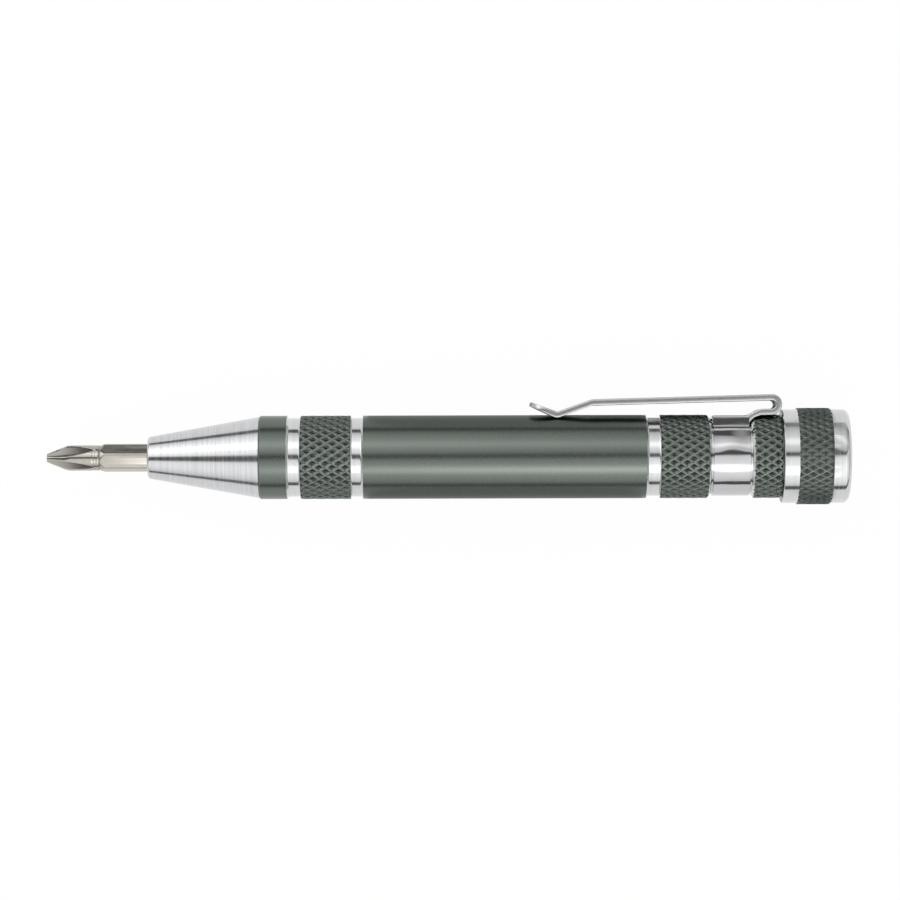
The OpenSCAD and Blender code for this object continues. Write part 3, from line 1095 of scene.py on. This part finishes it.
@dataclass
class Cap:
    """The screw cap with bright bands, a knurled middle and a pad in its closed end."""

    front_band: float = 2.35
    rear_band: float = 2.8
    band_depth: float = 0.2
    front_chamfer: float = 0.12
    chamfer: float = 0.3
    end_round: float = 1.0
    end_wall: float = 1.8
    mouth_radius: float = 6.098
    bore_radius: float = 5.798
    land_length: float = 1.7
    pad_edge: float = 0.3
    pad_count: int = 120
    knurl: Knurl = field(default_factory=lambda: Knurl(40, 2.06, 0.24, 0.05, 0.1, 0.05, tone=0.75))
    thread: Thread = field(default_factory=Thread)

    def build(self) -> bpy.types.Mesh:
        """Makes the cap.

        Returns:
            A closed mesh: slot 0 is anodised, slot 1 bright.
        """
        low, high = box_mm("cap")
        lathe = self.knurl.lathe
        band = high.z - self.band_depth
        floor = high.x - self.end_wall
        land = low.x + self.land_length
        start = low.x + self.front_band
        end = high.x - self.rear_band
        loft = Loft()
        loft.add(lathe.ring(floor, 0), lathe.ring(floor, self.bore_radius))
        loft.add(*self.thread.rings(
            lathe, floor - self.end_wall, land, self.bore_radius, self.thread.pitch
        ))
        loft.add(*lathe.rings([(land, self.mouth_radius), (low.x, self.mouth_radius)]))
        cut = self.front_chamfer
        loft.add(*lathe.rings([(low.x, band - cut), (low.x + cut, band), (start, band)], 1))
        edges = (0.0, self.band_depth)
        loft.add(*self.knurl.rings(start, end, high.z, edges, self.band_depth / self.chamfer))
        centre = (high.x - self.end_round, band - self.end_round)
        loft.add(*lathe.rings([(end, band), *rounded(centre, self.end_round, 0, 90), (high.x, 0)], 1))
        loft.soft = True
        return loft.mesh("cap")

    def build_pad(self) -> bpy.types.Mesh:
        """Makes the pad.

        Returns:
            A soft-edged disc.
        """
        low, high = box_mm("cap_pad")
        edge = self.pad_edge
        front = rounded((low.x + edge, high.z - edge), edge, -90, 0)
        back = rounded((high.x - edge, high.z - edge), edge, 0, 90)
        return turned("cap_pad", self.pad_count, [(low.x, 0), *front, *back, (high.x, 0)])

    def dress(self, finishes: Finishes) -> None:
        """Builds, paints and seats the cap and its pad.

        Args:
            finishes: the tool's materials.
        """
        cap = add_piece("cap_shell", self.build(), finishes.cap, finishes.bare)
        settle(cap, "cap", Slot.ANODISED, "cap")
        pad = add_piece("cap_soft_pad", self.build_pad(), finishes.foam)
        settle(pad, "cap_pad", Slot.PAD, "cap_pad")


@dataclass
class StripLine:
    """Line of the clip's strip along its outer face.

    Attributes:
        points: places in the X-Y plane, each with the heading there in degrees.
        leg: height of the straight leg on the barrel.
    """

    points: list[tuple[Vector, float]]
    leg: float

    def __post_init__(self) -> None:
        """Measures the line and finds where the straight arm starts."""
        self.stations = [0.0]
        for (before, _), (after, _) in zip(self.points, self.points[1:]):
            self.stations.append(self.stations[-1] + (after - before).length)
        self.total = self.stations[-1]
        self.arm = next(s for s, (_, turn) in zip(self.stations, self.points) if turn > 180)

    def at(self, station: float) -> tuple[Vector, float]:
        """Follows the line.

        Args:
            station: length along the line.

        Returns:
            The place there and the heading in radians.
        """
        i = max(k for k, s in enumerate(self.stations[:-1]) if s <= station)
        share = (station - self.stations[i]) / (self.stations[i + 1] - self.stations[i])
        (place, turn), (ahead, next_turn) = self.points[i], self.points[i + 1]
        return place.lerp(ahead, share), math.radians(turn + (next_turn - turn) * share)


@dataclass
class Clip:
    """The sprung pocket clip: a collar with a flat saddle, and a strip folded back along the barrel."""

    width: float = 6.0
    sheet: float = 0.5
    edge_height: float = 0.96
    edge_profile: Bends = (
        (0.0, 0.13), (0.02, 0.075), (0.06, 0.042), (0.1, 0.03), (0.38, 0.02), (0.64, 0.012),
        (0.78, 0.02), (0.92, 0.03), (0.97, 0.05), (1.0, 0.1),
    )
    collar_length: float = 5.9
    collar_round: float = 0.12
    front: float = 0.2
    front_bend: float = 4.8
    front_bulge: float = 4.2
    front_lean: float = 6.0
    flank_lean: float = 37.0
    flank_height: float = 3.0
    flank_bend: float = 10.5
    foot_lean: float = 45.0
    foot_bend: float = 3.07
    saddle_rise: float = 0.2
    saddle_corner: float = 0.3
    gap: float = 0.06
    step_angle: float = 45.0
    step_in: float = 0.3
    step_out: float = 1.2
    bend: float = 1.555
    slope: float = 1.5
    arm: float = 27.65
    knee: float = 3.0
    knee_slope: float = 19.5
    foot: float = 0.6
    tip_rise: float = 20.0
    tip_taper: float = 0.35
    tip: float = 4.2
    tip_round: float = 2.4
    line_offset: float = 0.9
    line_width: float = 0.4
    line_depth: float = 0.12
    line_margin: float = 6.0
    leg_start: float = 95.13
    bend_station: float = 97.745
    upper_edge: Rise = (93.6, 96.3, 6.4, 7.43)
    lower_edge: Rise = (94.1, 96.6, 5.1, 6.45)
    lower_power: float = 2.6
    side_inset: float = 0.015
    flat_share: float = 0.8
    lip_inset: float = 0.1
    lip_shares: tuple[float, float] = (0.96, 0.9)
    end_gap: float = 0.02
    flex_lift: float = 0.12
    flex_run: tuple[float, float] = (-0.11, 0.9)
    bend_steps: int = 14
    tip_step: int = 10
    rise_steps: int = 48
    corner_steps: int = 6
    round_steps: int = 60
    collar_rows: int = 24

    def line(self, barrel: float, saddle: float) -> StripLine:
        """Line of the strip's outer face, from the saddle to the tip.

        Args:
            barrel: the barrel's radius.
            saddle: height of the saddle's underside.

        Returns:
            The measured line.
        """
        leg = barrel + self.gap
        lean = math.radians(self.step_angle)
        turned = (self.step_in + self.step_out) * (1 - math.cos(lean))
        run = (leg - saddle - turned) / math.sin(lean)
        reach = (self.step_in + self.step_out) * math.sin(lean) + run * math.cos(lean)
        top = leg + self.bend * (1 + math.cos(math.radians(self.slope)))
        fall = self.arm * math.sin(math.radians(self.slope)) + self.knee * (
            math.cos(math.radians(self.slope)) - math.cos(math.radians(self.knee_slope))
        )
        floor = leg + self.sheet + self.foot * (1 - math.cos(math.radians(self.knee_slope)))
        foot_run = (top - fall - floor) / math.sin(math.radians(self.knee_slope))
        bends: list[Bend] = [
            (0, self.step_out, self.step_angle),
            (run, self.step_in, -self.step_angle),
            (self.bend_station - self.leg_start, self.bend, 180 + self.slope),
            (self.arm, self.knee, self.knee_slope - self.slope),
            (foot_run, self.foot, -self.knee_slope - self.tip_rise),
            (self.tip, 0, 0),
        ]
        return StripLine(self.follow(bends, Vector((self.leg_start - reach, saddle))), leg)

    def follow(self, bends: list[Bend], at: Vector) -> list[tuple[Vector, float]]:
        """Works out a path from straight runs and the bends after them.

        Args:
            bends: run, radius and angle of each step; a left turn has a positive angle.
            at: where the path starts, heading to +X.

        Returns:
            Points with their headings in degrees.
        """
        heading = 0.0
        path = [(at, heading)]
        for run, radius, angle in bends:
            ahead = Vector((math.cos(math.radians(heading)), math.sin(math.radians(heading))))
            pieces = max(1, math.ceil(run))
            path += [(at + ahead * run * i / pieces, heading) for i in range(1, pieces + 1) if run]
            if not angle:
                continue
            side = math.copysign(1, angle)
            centre = at + ahead * run + side * radius * Vector((-ahead.y, ahead.x))
            for i in range(1, self.bend_steps + 1):
                now = math.radians(heading + angle * i / self.bend_steps)
                at = centre + side * radius * Vector((math.sin(now), -math.cos(now)))
                path.append((at, math.degrees(now)))
            heading += angle
        return path

    def section(self, half: float, edge: float, line: float, skirt: float) -> Outline:
        """Cross-section of the strip.

        Args:
            half: half of its width.
            edge: height of its turned edges.
            line: depth of its pressed lines.
            skirt: how far the edges hang past the outer face.

        Returns:
            Points of width and depth round the section, from the middle of the outer face.
        """
        inner = min(self.sheet, edge)
        flat = half - self.edge_profile[0][1]
        lip = half - self.edge_profile[-1][1] - self.lip_inset
        outer_lip, inner_lip = (lip * part for part in self.lip_shares)
        left, right = (self.line_offset + s * self.line_width / 2 for s in (-1, 1))
        share = half / (self.width / 2)
        side = [(0.0, 0.0), (left * share, 0.0), (self.line_offset * share, line), (right * share, 0.0)]
        side.append((flat * self.flat_share, 0.0))
        tall = edge + skirt
        side += [(half - inset * min(1.0, half), tall * at - skirt) for at, inset in self.edge_profile]
        side += [(outer_lip, (edge + inner) / 2), (inner_lip, inner), (lip / 2, inner)]
        mirrored = [(-w, d) for w, d in side[:0:-1]]
        return side + [(0.0, inner)] + mirrored

    def build_strip(self, barrel: float, saddle: float) -> bpy.types.Mesh:
        """Makes the folded strip.

        Args:
            barrel: the barrel's radius.
            saddle: height of the saddle's underside.

        Returns:
            A closed mesh from the saddle to the tip.
        """
        line = self.line(barrel, saddle)
        total = line.total
        angles = range(90 - self.tip_step, -1, -self.tip_step)
        ends = [total - self.tip_round * (1 - math.cos(math.radians(a))) for a in angles]
        loft = Loft()
        for station in sorted(set(line.stations[:-1]) | set(ends[:-1])):
            loft.add(self.slice(line, station))
        loft.add(self.slice(line, total - self.end_gap))
        return loft.mesh("clip_strip", ends=True)

    def slice(self, line: StripLine, station: float) -> Ring:
        """Cross-section at one station of the strip's line.

        Args:
            line: the strip's line.
            station: where the section stands.

        Returns:
            Its loop; on the way up to the leg it stays upright.
        """
        at, heading = line.at(station)
        left = line.total - station
        half = self.width / 2 - self.side_inset
        if left < self.tip_round:
            half += math.sqrt(self.tip_round ** 2 - (self.tip_round - left) ** 2) - self.tip_round
        folded = 1.0
        if station < line.arm:
            heading = heading if at.x > self.leg_start else 0.0
            folded = min(1.0, heading / math.pi)
        base = min(at.y, line.leg)
        upper, lower = self.edges(at.x)
        taper = 1 - self.tip_taper * max(0.0, 1 - left / self.tip)
        edge = (upper - base) * (1 - folded) + self.edge_height * taper * folded
        skirt = (base - lower) * (1 - folded)
        inside = min(station - line.arm, line.arm + self.arm - station) - self.line_margin
        press = self.line_depth * clamp(inside)
        points = []
        for width, depth in self.section(half, edge, press, skirt):
            x = at.x - math.sin(heading) * depth
            y = at.y + math.cos(heading) * depth
            points.append(Vector((x, y, -width)))
        return Ring(points)

    def edges(self, x: float) -> tuple[float, float]:
        """Finds the strip's edges on its way from the saddle to the leg.

        Args:
            x: station along the tool.

        Returns:
            Heights of the upper and of the lower edge.
        """
        first, last, low, high = self.upper_edge
        share = clamp((x - first) / (last - first))
        upper = low + (high - low) * share * share * (3 - 2 * share)
        first, last, low, high = self.lower_edge
        share = clamp((x - first) / (last - first))
        return upper, high - (high - low) * (1 - share) ** self.lower_power

    def outline(self, radius: float, top: float, half: float, corner: float, bends: Bends) -> Outline:
        """Outline of the collar across the axis: a round with a flat saddle.

        Args:
            radius: radius of the round.
            top: height of the saddle.
            half: half of the saddle's width.
            corner: rounding of the saddle's corners.
            bends: radius and last lean of each arc from the front up to the saddle's wall.

        Returns:
            Points of Y and Z, from the middle of the saddle round towards +Z.
        """
        front = self.front if len(bends) > 1 else 0.0
        y, z, lean = front, radius, 0.0
        rise: Outline = []
        steps = self.rise_steps // len(bends)
        for bend, last in bends:
            end = math.radians(last)
            if (bend, last) == bends[-1]:
                end = math.acos(math.cos(lean) - (z - half) / bend)
            arc = [lean + (end - lean) * (i + 1) / steps for i in range(steps)]
            foot = (y - bend * math.sin(lean), z - bend * math.cos(lean))
            rise += [(foot[0] + bend * math.sin(a), foot[1] + bend * math.cos(a)) for a in arc]
            (y, z), lean = rise[-1], end
        side = [(top, 0.0), (top, half / 2)]
        for i in range(self.corner_steps + 1):
            a = math.pi / 2 * i / self.corner_steps
            side.append((top - corner + corner * math.cos(a), half - corner + corner * math.sin(a)))
        side += rise[::-1]
        for i in range(self.round_steps):
            a = math.pi / 2 * i / self.round_steps
            side.append((front - (radius + front) * math.sin(a), radius * math.cos(a)))
        mirrored = [(y, -z) for y, z in side[:0:-1]]
        return side + [(-radius, 0.0)] + mirrored

    def shoulder(self, share: float) -> Bends:
        """Works out the collar's front, whose first arc bulges midway along the collar.

        Args:
            share: place along the collar, from 0 to 1.

        Returns:
            Radius and last lean of each arc.
        """
        bulge = (1 - math.cos(math.tau * share)) / 2
        first = self.front_bend + self.front_bulge * bulge
        lean, rest = (math.sin(math.radians(a)) for a in (self.front_lean, self.flank_lean))
        second = (self.flank_height - self.front - first * lean) / (rest - lean)
        return (
            (first, self.front_lean), (second, self.flank_lean),
            (self.flank_bend, self.foot_lean), (self.foot_bend, 90.0),
        )

    def build_collar(self) -> bpy.types.Mesh:
        """Makes the collar as a closed band.

        Returns:
            A mesh with the saddle on its +Y side.
        """
        low, high = box_mm("clip_collar")
        radius = high.z
        edge = self.collar_round
        top = radius + self.saddle_rise
        half = self.width / 2
        loft = Loft()
        rows = self.collar_rows
        for i in range(rows + 1):
            x = low.x + edge + (self.collar_length - 2 * edge) * i / rows
            bends = self.shoulder(i / rows)
            outer = self.outline(radius, top, half, self.saddle_corner, bends)
            bevel = self.outline(radius - edge, top - edge, half - edge, self.saddle_corner, bends)
            if i == 0:
                loft.add(self.across(low.x, bevel))
            loft.add(self.across(x, outer))
            if i == rows:
                loft.add(self.across(low.x + self.collar_length, bevel))
        inner = radius - self.sheet
        lining = self.outline(
            inner, top - self.sheet, half - self.sheet, self.collar_round, ((inner, 90.0),)
        )
        loft.add(self.across(low.x + self.collar_length, lining), self.across(low.x, lining))
        return loft.mesh("clip_collar", wrap=True)

    def across(self, x: float, points: Outline) -> Ring:
        """A loop across the axis from points of Y and Z."""
        return Ring([Vector((x, y, z)) for y, z in points])

    def dress(self, finishes: Finishes) -> None:
        """Builds, paints and seats the clip's collar, and builds and paints its folded strip.

        Args:
            finishes: the tool's materials.
        """
        barrel = box_mm("barrel")[1].z
        saddle = box_mm("clip_collar")[1].z + self.saddle_rise - self.sheet
        collar = add_piece("clip_collar_band", self.build_collar(), finishes.collar)
        settle(collar, "clip_collar", Slot.CLIP, "clip_collar")
        strip = add_piece("clip_spring_strip", self.build_strip(barrel, saddle), finishes.spring)
        lift = barrel + self.gap + self.edge_height + self.flex_lift
        start = Vector((self.bend_station, lift, 0)) * MM
        end = start + Vector((*self.flex_run, 0)) * MM
        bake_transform(strip)
        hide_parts("clip_arm")


@dataclass
class Bit:
    """A hexagon bit with a cross or a blade."""

    node: str
    body: str
    point: Point
    width: float
    thick: float
    roll: float = 0.0
    count: int = 120
    step: float = 0.2
    flats: float = 4.0
    length: float = 28.0
    point_length: float = 9.1
    shoulder_angle: float = 25.0
    cross_angle: float = 22.0
    corner_share: float = 0.975
    flute_turn: float = 6.0
    flute_half: float = 44.75
    flute_power: float = 2.3
    web_share: float = 0.55
    flute_share: float = 0.92
    grind_share: float = 0.8
    end_chamfer: float = 0.4
    edge_round: float = 0.06
    marks: Bends = ((7.35, 0.05), (7.75, 0.05), (8.35, 0.12))
    mark_half: float = 0.18
    cut_shade: float = 0.4
    mark_shade: float = 5.0
    least_sine: float = 0.02

    def mark(self, x: float) -> float:
        """Depth of the turned ring marks at a station from the tip."""
        return max(deep * max(0.0, 1 - abs(x - at) / self.mark_half) for at, deep in self.marks)

    @property
    def corner(self) -> float:
        """Radius over the hexagon's broken corners."""
        return self.corner_share * self.flats / 2 / math.cos(math.radians(30))

    @property
    def shoulder(self) -> float:
        """Station from the tip where the shank's shoulder starts to rise."""
        slope = math.tan(math.radians(self.shoulder_angle))
        return self.point_length - (self.corner - self.width / 2) / slope

    def blank(self, x: float) -> float:
        """Shapes the bit before its point is cut.

        Args:
            x: station from the tip.

        Returns:
            The radius there.
        """
        radius = self.width / 2
        rise = radius + max(0.0, x - self.shoulder) * math.tan(math.radians(self.shoulder_angle))
        tail = self.corner - max(0.0, x - (self.length - self.end_chamfer))
        body = min(rise, self.corner, tail) - self.mark(x)
        if x >= self.shoulder:
            return body
        cone = radius
        if self.point is Point.CROSS:
            cone = self.thick / 2 + x * math.tan(math.radians(self.cross_angle))
        return soft_min(cone, body, 4 * self.edge_round)

    def cut(self, x: float, angle: float) -> float:
        """Cuts the point's flutes or its grind.

        Args:
            x: station from the tip.
            angle: angle round the bit's axis.

        Returns:
            The radius that is left there; large where all is left.
        """
        radius = self.width / 2
        if self.point is Point.CROSS:
            web = self.web_share * self.thick / 2
            share = x / (self.flute_share * self.shoulder)
            quarter = math.radians(90)
            turn = abs((angle - math.radians(self.flute_turn) + quarter / 2) % quarter - quarter / 2)
            floor = web + (radius - web) * share ** self.flute_power
            opening = math.radians(self.flute_half)
            return floor * math.sin(opening) / max(self.least_sine, math.sin(opening - turn))
        run = self.grind_share * self.shoulder
        depth = radius - self.thick / 2
        arc = (run ** 2 + depth ** 2) / 2 / depth
        if x > run:
            return self.flats
        half = self.thick / 2 + arc - math.sqrt(arc ** 2 - x ** 2)
        return half / max(self.least_sine, abs(math.sin(angle)))

    def radius(self, x: float, angle: float) -> tuple[float, float]:
        """Shapes the finished bit.

        Args:
            x: station from the tip.
            angle: angle round the bit's axis.

        Returns:
            The radius there and how deep the cut is, as a relief from 0 to -1 that the finish paints as
            shade.
        """
        full = soft_min(self.blank(x), hexagon(self.flats, angle), self.edge_round)
        left = soft_min(full, self.cut(x, angle), self.edge_round) if x < self.point_length else full
        # Painted shade: the cut and the ring marks set how dark the finish paints them.
        cut = self.cut_shade * max(0.0, full - left) / full + self.mark_shade * self.mark(x)
        return left, -min(1.0, cut)

    def build(self) -> bpy.types.Mesh:
        """Makes the bit where its CAD node lies.

        Returns:
            A closed mesh in the row frame.
        """
        low, high = box_mm(self.node)
        lathe = Lathe(self.count)
        loft = Loft()
        rows = round(self.point_length / self.step)
        stations = [self.point_length * i / rows for i in range(rows + 1)]
        stations += [self.point_length + self.step, self.length - self.end_chamfer, self.length]
        loft.add(lathe.ring(0, 0))
        for x in stations:
            places = [self.radius(x, lathe.angle(j)) for j in range(self.count)]
            values = iter(places)
            ring = lathe.ring(x, lambda _: next(values)[0])
            ring.relief = [relief for _, relief in places]
            loft.add(ring)
        loft.add(lathe.ring(self.length, 0))
        mesh = loft.mesh(self.node)
        centre = Vector((low.x, (low.y + high.y) / 2, (low.z + high.z) / 2)) * MM
        turn = Matrix.Rotation(math.radians(self.roll - 90), 4, "X")
        mesh.transform(Matrix.Translation(centre) @ turn)
        return mesh

    def dress(self, finishes: Finishes) -> None:
        """Builds, paints and seats the bit."""
        piece = add_piece(f"{self.node}_steel", self.build(), finishes.bit)
        settle(piece, self.body, Slot.BIT, self.node)


@dataclass(frozen=True)
class Glow:
    """How one side of the tent shines.

    Attributes:
        side: 1 towards the clip, -1 away from it.
        level: radiance along its crest.
        fall: what the level loses as far from the crest as the crest is from straight up.
        change: share of the level gained for each metre towards the cap, ahead of the nose's face
            and behind it.
        core: what the lamp behind it adds along the crest.
        core_span: stations in metres where that lamp starts and ends.
        end: station in metres where the side dims.
    """

    side: int
    level: float
    fall: float
    change: tuple[float, float]
    core: float
    core_span: tuple[float, float]
    end: float


@dataclass(frozen=True)
class Tent:
    """An arched soft light over the tool, parted by a slanting dark slit for the camera.

    Angles are degrees from straight up, towards the clip's side.
    """

    reach: float = 0.62
    half_length: float = 0.9
    edges: tuple[float, float] = (-78.0, 77.0)
    slit: float = 1.6
    slit_turn: float = 20.0
    slit_half: float = 4.5
    slit_narrowing: float = 11.0
    slit_soft: float = 5.0
    slit_glow: float = 0.11
    crest: float = 36.0
    core_half: float = 14.0
    core_rise: float = 0.2
    core_fall: float = 0.1
    end_glow: float = 0.6
    end_run: float = 0.12
    least_gain: float = 0.4
    steps: int = 36
    glows: tuple[Glow, Glow] = (
        Glow(1, 1.2, 0.5, (-0.8, -1.75), 0.6, (-0.6, 0.9), 0.9),
        Glow(-1, 1.15, 0.36, (0.1, 0.7), 3.0, (-0.06, 0.2), 0.5),
    )

    def paint(self, shader: Shader) -> None:
        """Gives each side its glow, with a lamp's core over part of its length.

        Args:
            shader: the cloth's empty shader.
        """
        x, y, z = shader.split(shader.place())
        angle = shader.node("ShaderNodeMath", {"operation": "ARCTAN2"}, {0: y, 1: z}) * math.degrees(1)
        lean = angle - (self.slit + x * self.slit_turn)
        away = abs(angle) - self.crest
        far = away / self.crest
        near = away / self.core_half
        strip = (1 - near * near).above(0)
        half = self.slit_half - x * self.slit_narrowing
        total: Any = self.slit_glow
        for glow in self.glows:
            mask = ((lean * glow.side - half) / self.slit_soft).held()
            ahead, behind = glow.change
            gain = (1 + x * ahead + x.above(0) * (behind - ahead)).above(self.least_gain)
            gain = gain * ((glow.end - x) / self.end_run).held().above(self.end_glow)
            start, last = glow.core_span
            lamp = ((x - start) / self.core_rise).held() * ((last - x) / self.core_fall).held()
            core = strip * strip * lamp * glow.core
            total = mask * gain * (glow.level - far * far * glow.fall + core) + total
        shader.shine(total)

    def mesh(self, middle: float) -> bpy.types.Mesh:
        """Makes the arch.

        Args:
            middle: station of its middle along the tool, in metres.

        Returns:
            A curved sheet.
        """
        first, last = self.edges
        points = []
        for i in range(self.steps + 1):
            a = math.radians(first + (last - first) * i / self.steps)
            for side in (-1, 1):
                x = middle + side * self.half_length
                points.append((x, self.reach * math.sin(a), self.reach * math.cos(a)))
        faces = [(2 * i, 2 * i + 1, 2 * i + 3, 2 * i + 2) for i in range(self.steps)]
        mesh = bpy.data.meshes.new("tent")
        mesh.from_pydata(points, [], faces)
        return mesh


@dataclass
class Studio:
    """Floor, tent, end walls, side panel, grey cards, sky and camera.

    Lens, sensor, distance and aim are millimetres; all other lengths are metres.
    """

    lens: float = 142.8
    distance: float = 561.0
    aim: tuple[float, float] = (47.42, 1.1)
    camera_roll: float = -0.15
    sensor: float = 36.0
    nearest: float = 0.01
    floor_size: float = 6.0
    floor_tone: float = 0.95
    floor_white: float = 0.97
    floor_gloss: float = 0.95
    wall_height: float = 0.62
    wall_glows: tuple[float, float] = (0.75, 0.65)
    card_greys: tuple[float, float] = (0.52, 0.22)
    fill_span: tuple[float, float] = (0.12, 0.6)
    fill_run: float = 0.12
    fill_glow: float = 0.62
    card_spans: Bends = ((0.0345, 0.0775), (0.1022, 0.1069))
    card_reach: tuple[float, float] = (0.007, 0.25)
    card_lift: float = 0.0002
    sky: float = 0.11
    tent: Tent = field(default_factory=Tent)

    def stand(self, mesh: bpy.types.Mesh, material: bpy.types.Material) -> bpy.types.Object:
        """Puts a piece of the studio in place, kept apart from the object and out of the picture.

        Args:
            mesh: its mesh, whose name it takes.
            material: what it is made of.

        Returns:
            The piece.
        """
        piece = add_piece(mesh.name, mesh, material)
        piece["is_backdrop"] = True
        piece.visible_camera = False
        return piece

    def stand_sheet(self, name: str, corners: Corners, material: bpy.types.Material) -> bpy.types.Object:
        """Puts up a flat four-cornered sheet.

        Args:
            name: the sheet's name.
            corners: its corners in metres, in order round it.
            material: what it is made of.

        Returns:
            The sheet.
        """
        mesh = bpy.data.meshes.new(name)
        mesh.from_pydata(corners, [], [(0, 1, 2, 3)])
        return self.stand(mesh, material)

    def plain(self, name: str) -> tuple[bpy.types.Material, Shader]:
        """Starts a material.

        Args:
            name: the material's name.

        Returns:
            The material and its empty shader.
        """
        material = bpy.data.materials.new(name)
        material.use_nodes = True
        return material, Shader(material.node_tree)

    def lay_floor(self, height: float) -> None:
        """Lays a white floor that keeps a faint shadow.

        Args:
            height: where the object's lowest point lies, in metres.
        """
        half = self.floor_size / 2
        sides = ((-half, -half), (half, -half), (half, half), (-half, half))
        material, shader = self.plain("white_floor")
        paths = shader.node("ShaderNodeLightPath").socket.node.outputs
        straight = Signal(shader, paths["Is Camera Ray"]) + Signal(shader, paths["Is Transmission Ray"])
        seen = straight * self.floor_white + Signal(shader, paths["Is Glossy Ray"]) * self.floor_gloss
        lit = shader.node("ShaderNodeBsdfDiffuse", {}, {"Color": (self.floor_tone,) * 3})
        glow = shader.node("ShaderNodeEmission", {}, {"Color": (1.0, 1.0, 1.0), "Strength": 1.0})
        both = shader.node("ShaderNodeMixShader", {}, {0: seen, 1: lit, 2: glow})
        shader.node("ShaderNodeOutputMaterial", {}, {"Surface": both})
        floor = self.stand_sheet("floor", [(x, y, height) for x, y in sides], material)
        floor.visible_camera = True

    def hang_tent(self) -> None:
        """Hangs the tent over the middle of the picture."""
        material, shader = self.plain("tent_cloth")
        self.tent.paint(shader)
        self.stand(self.tent.mesh(self.aim[0] * MM), material)

    def stand_walls(self, height: float) -> None:
        """Stands a pale wall beyond each end of the tool.

        Args:
            height: where the floor lies, in metres.
        """
        half, top = self.tent.reach, self.wall_height
        for name, side, level in zip(("wall_ahead", "wall_behind"), (-1, 1), self.wall_glows):
            x = self.aim[0] * MM + side * self.tent.half_length
            corners = [(x, -half, height), (x, half, height), (x, half, top), (x, -half, top)]
            self.stand_sheet(name, corners, self.glowing(name, level))

    def stand_fill(self, height: float) -> None:
        """Stands a panel that brightens past the cap, under the tent's edge on the clip's side.

        Args:
            height: where the floor lies, in metres.
        """
        first, last = self.fill_span
        turn = math.radians(self.tent.edges[1])
        y, top = self.tent.reach * math.sin(turn), self.tent.reach * math.cos(turn)
        corners = [(first, y, height), (last, y, height), (last, y, top), (first, y, top)]
        material, shader = self.plain("fill")
        x = shader.split(shader.place())[0]
        shader.shine(((x - first) / self.fill_run).held() * (self.fill_glow - self.sky) + self.sky)
        self.stand_sheet("fill", corners, material)

    def glowing(self, name: str, level: float) -> bpy.types.Material:
        """Makes an even grey that is lit from within.

        Args:
            name: the material's name.
            level: its radiance.

        Returns:
            The material.
        """
        material, shader = self.plain(name)
        shader.shine((level,) * 3)
        return material

    def lay_cards(self, height: float) -> None:
        """Lays grey cards on the floor at each side of the tool, out of the camera's sight.

        Args:
            height: where the floor lies, in metres.
        """
        near, far = self.card_reach
        z = height + self.card_lift
        for number, ((first, last), grey) in enumerate(zip(self.card_spans, self.card_greys)):
            material = self.glowing(f"grey_card_{number}", grey)
            for side in (-1, 1):
                corners = []
                for x, y in ((first, near), (last, near), (last, far), (first, far)):
                    fan = (x - self.aim[0] * MM) * y / (self.distance * MM)
                    corners.append((x + fan, side * y, z))
                name = f"card_{number}_{'clip' if side > 0 else 'away'}"
                card = self.stand_sheet(name, corners, material)
                card.visible_diffuse = False
                card.visible_shadow = False

    def light_sky(self) -> None:
        """Gives the world a dim grey, white where the camera sees it."""
        world = bpy.data.worlds.new("studio")
        bpy.context.scene.world = world
        world.use_nodes = True
        shader = Shader(world.node_tree)
        paths = shader.node("ShaderNodeLightPath").socket.node.outputs
        strength = self.sky + Signal(shader, paths["Is Camera Ray"]) * (1 - self.sky)
        sky = shader.node("ShaderNodeBackground", {}, {"Color": (1.0, 1.0, 1.0), "Strength": strength})
        shader.node("ShaderNodeOutputWorld", {}, {"Surface": sky})

    def set_camera(self) -> None:
        """Sets the camera straight above the tool."""
        data = bpy.data.cameras.new("camera")
        data.lens = self.lens
        data.sensor_width = self.sensor
        data.clip_start = self.nearest
        camera = bpy.data.objects.new("camera", data)
        camera.location = (self.aim[0] * MM, self.aim[1] * MM, self.distance * MM)
        camera.rotation_euler = (0, 0, math.radians(self.camera_roll))
        bpy.context.collection.objects.link(camera)
        bpy.context.scene.camera = camera

    def build(self, height: float) -> None:
        """Builds the whole studio.

        Args:
            height: where the floor lies, in metres.
        """
        bpy.context.scene.view_settings.view_transform = "Standard"
        self.set_camera()
        self.light_sky()
        self.lay_floor(height)
        self.hang_tent()
        self.stand_walls(height)
        self.stand_fill(height)
        self.lay_cards(height)


BITS = (
    Bit(
        "cross_bit_2", "driver_bit", Point.CROSS, 4.0, 1.3,
        roll=105.5, count=240, step=0.1, flute_turn=35.75,
    ),
    Bit("cross_bit_1", "column_a", Point.CROSS, 3.6, 1.0),
    Bit("slot_bit_4", "column_a", Point.BLADE, 4.0, 0.8),
    Bit("slot_bit_3", "column_a", Point.BLADE, 3.0, 0.5),
    Bit("cross_bit_0", "column_b", Point.CROSS, 2.8, 0.6),
    Bit("slot_bit_2", "column_b", Point.BLADE, 2.0, 0.4),
    Bit("cross_bit_00", "column_c", Point.CROSS, 2.2, 0.4),
    Bit("slot_bit_1", "column_c", Point.BLADE, 1.5, 0.3),
)


def main() -> None:
    """Loads the frame, builds every piece and lights it."""
    logging.basicConfig(level=logging.INFO, format="%(message)s")
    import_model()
    cad_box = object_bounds()
    finishes = Finishes.make()
    for part in (Barrel(), Nose(), Cap(), Clip(), *BITS):
        part.dress(finishes)
    Studio().build(cad_box[0][2])


if __name__ == "__main__":
    main()
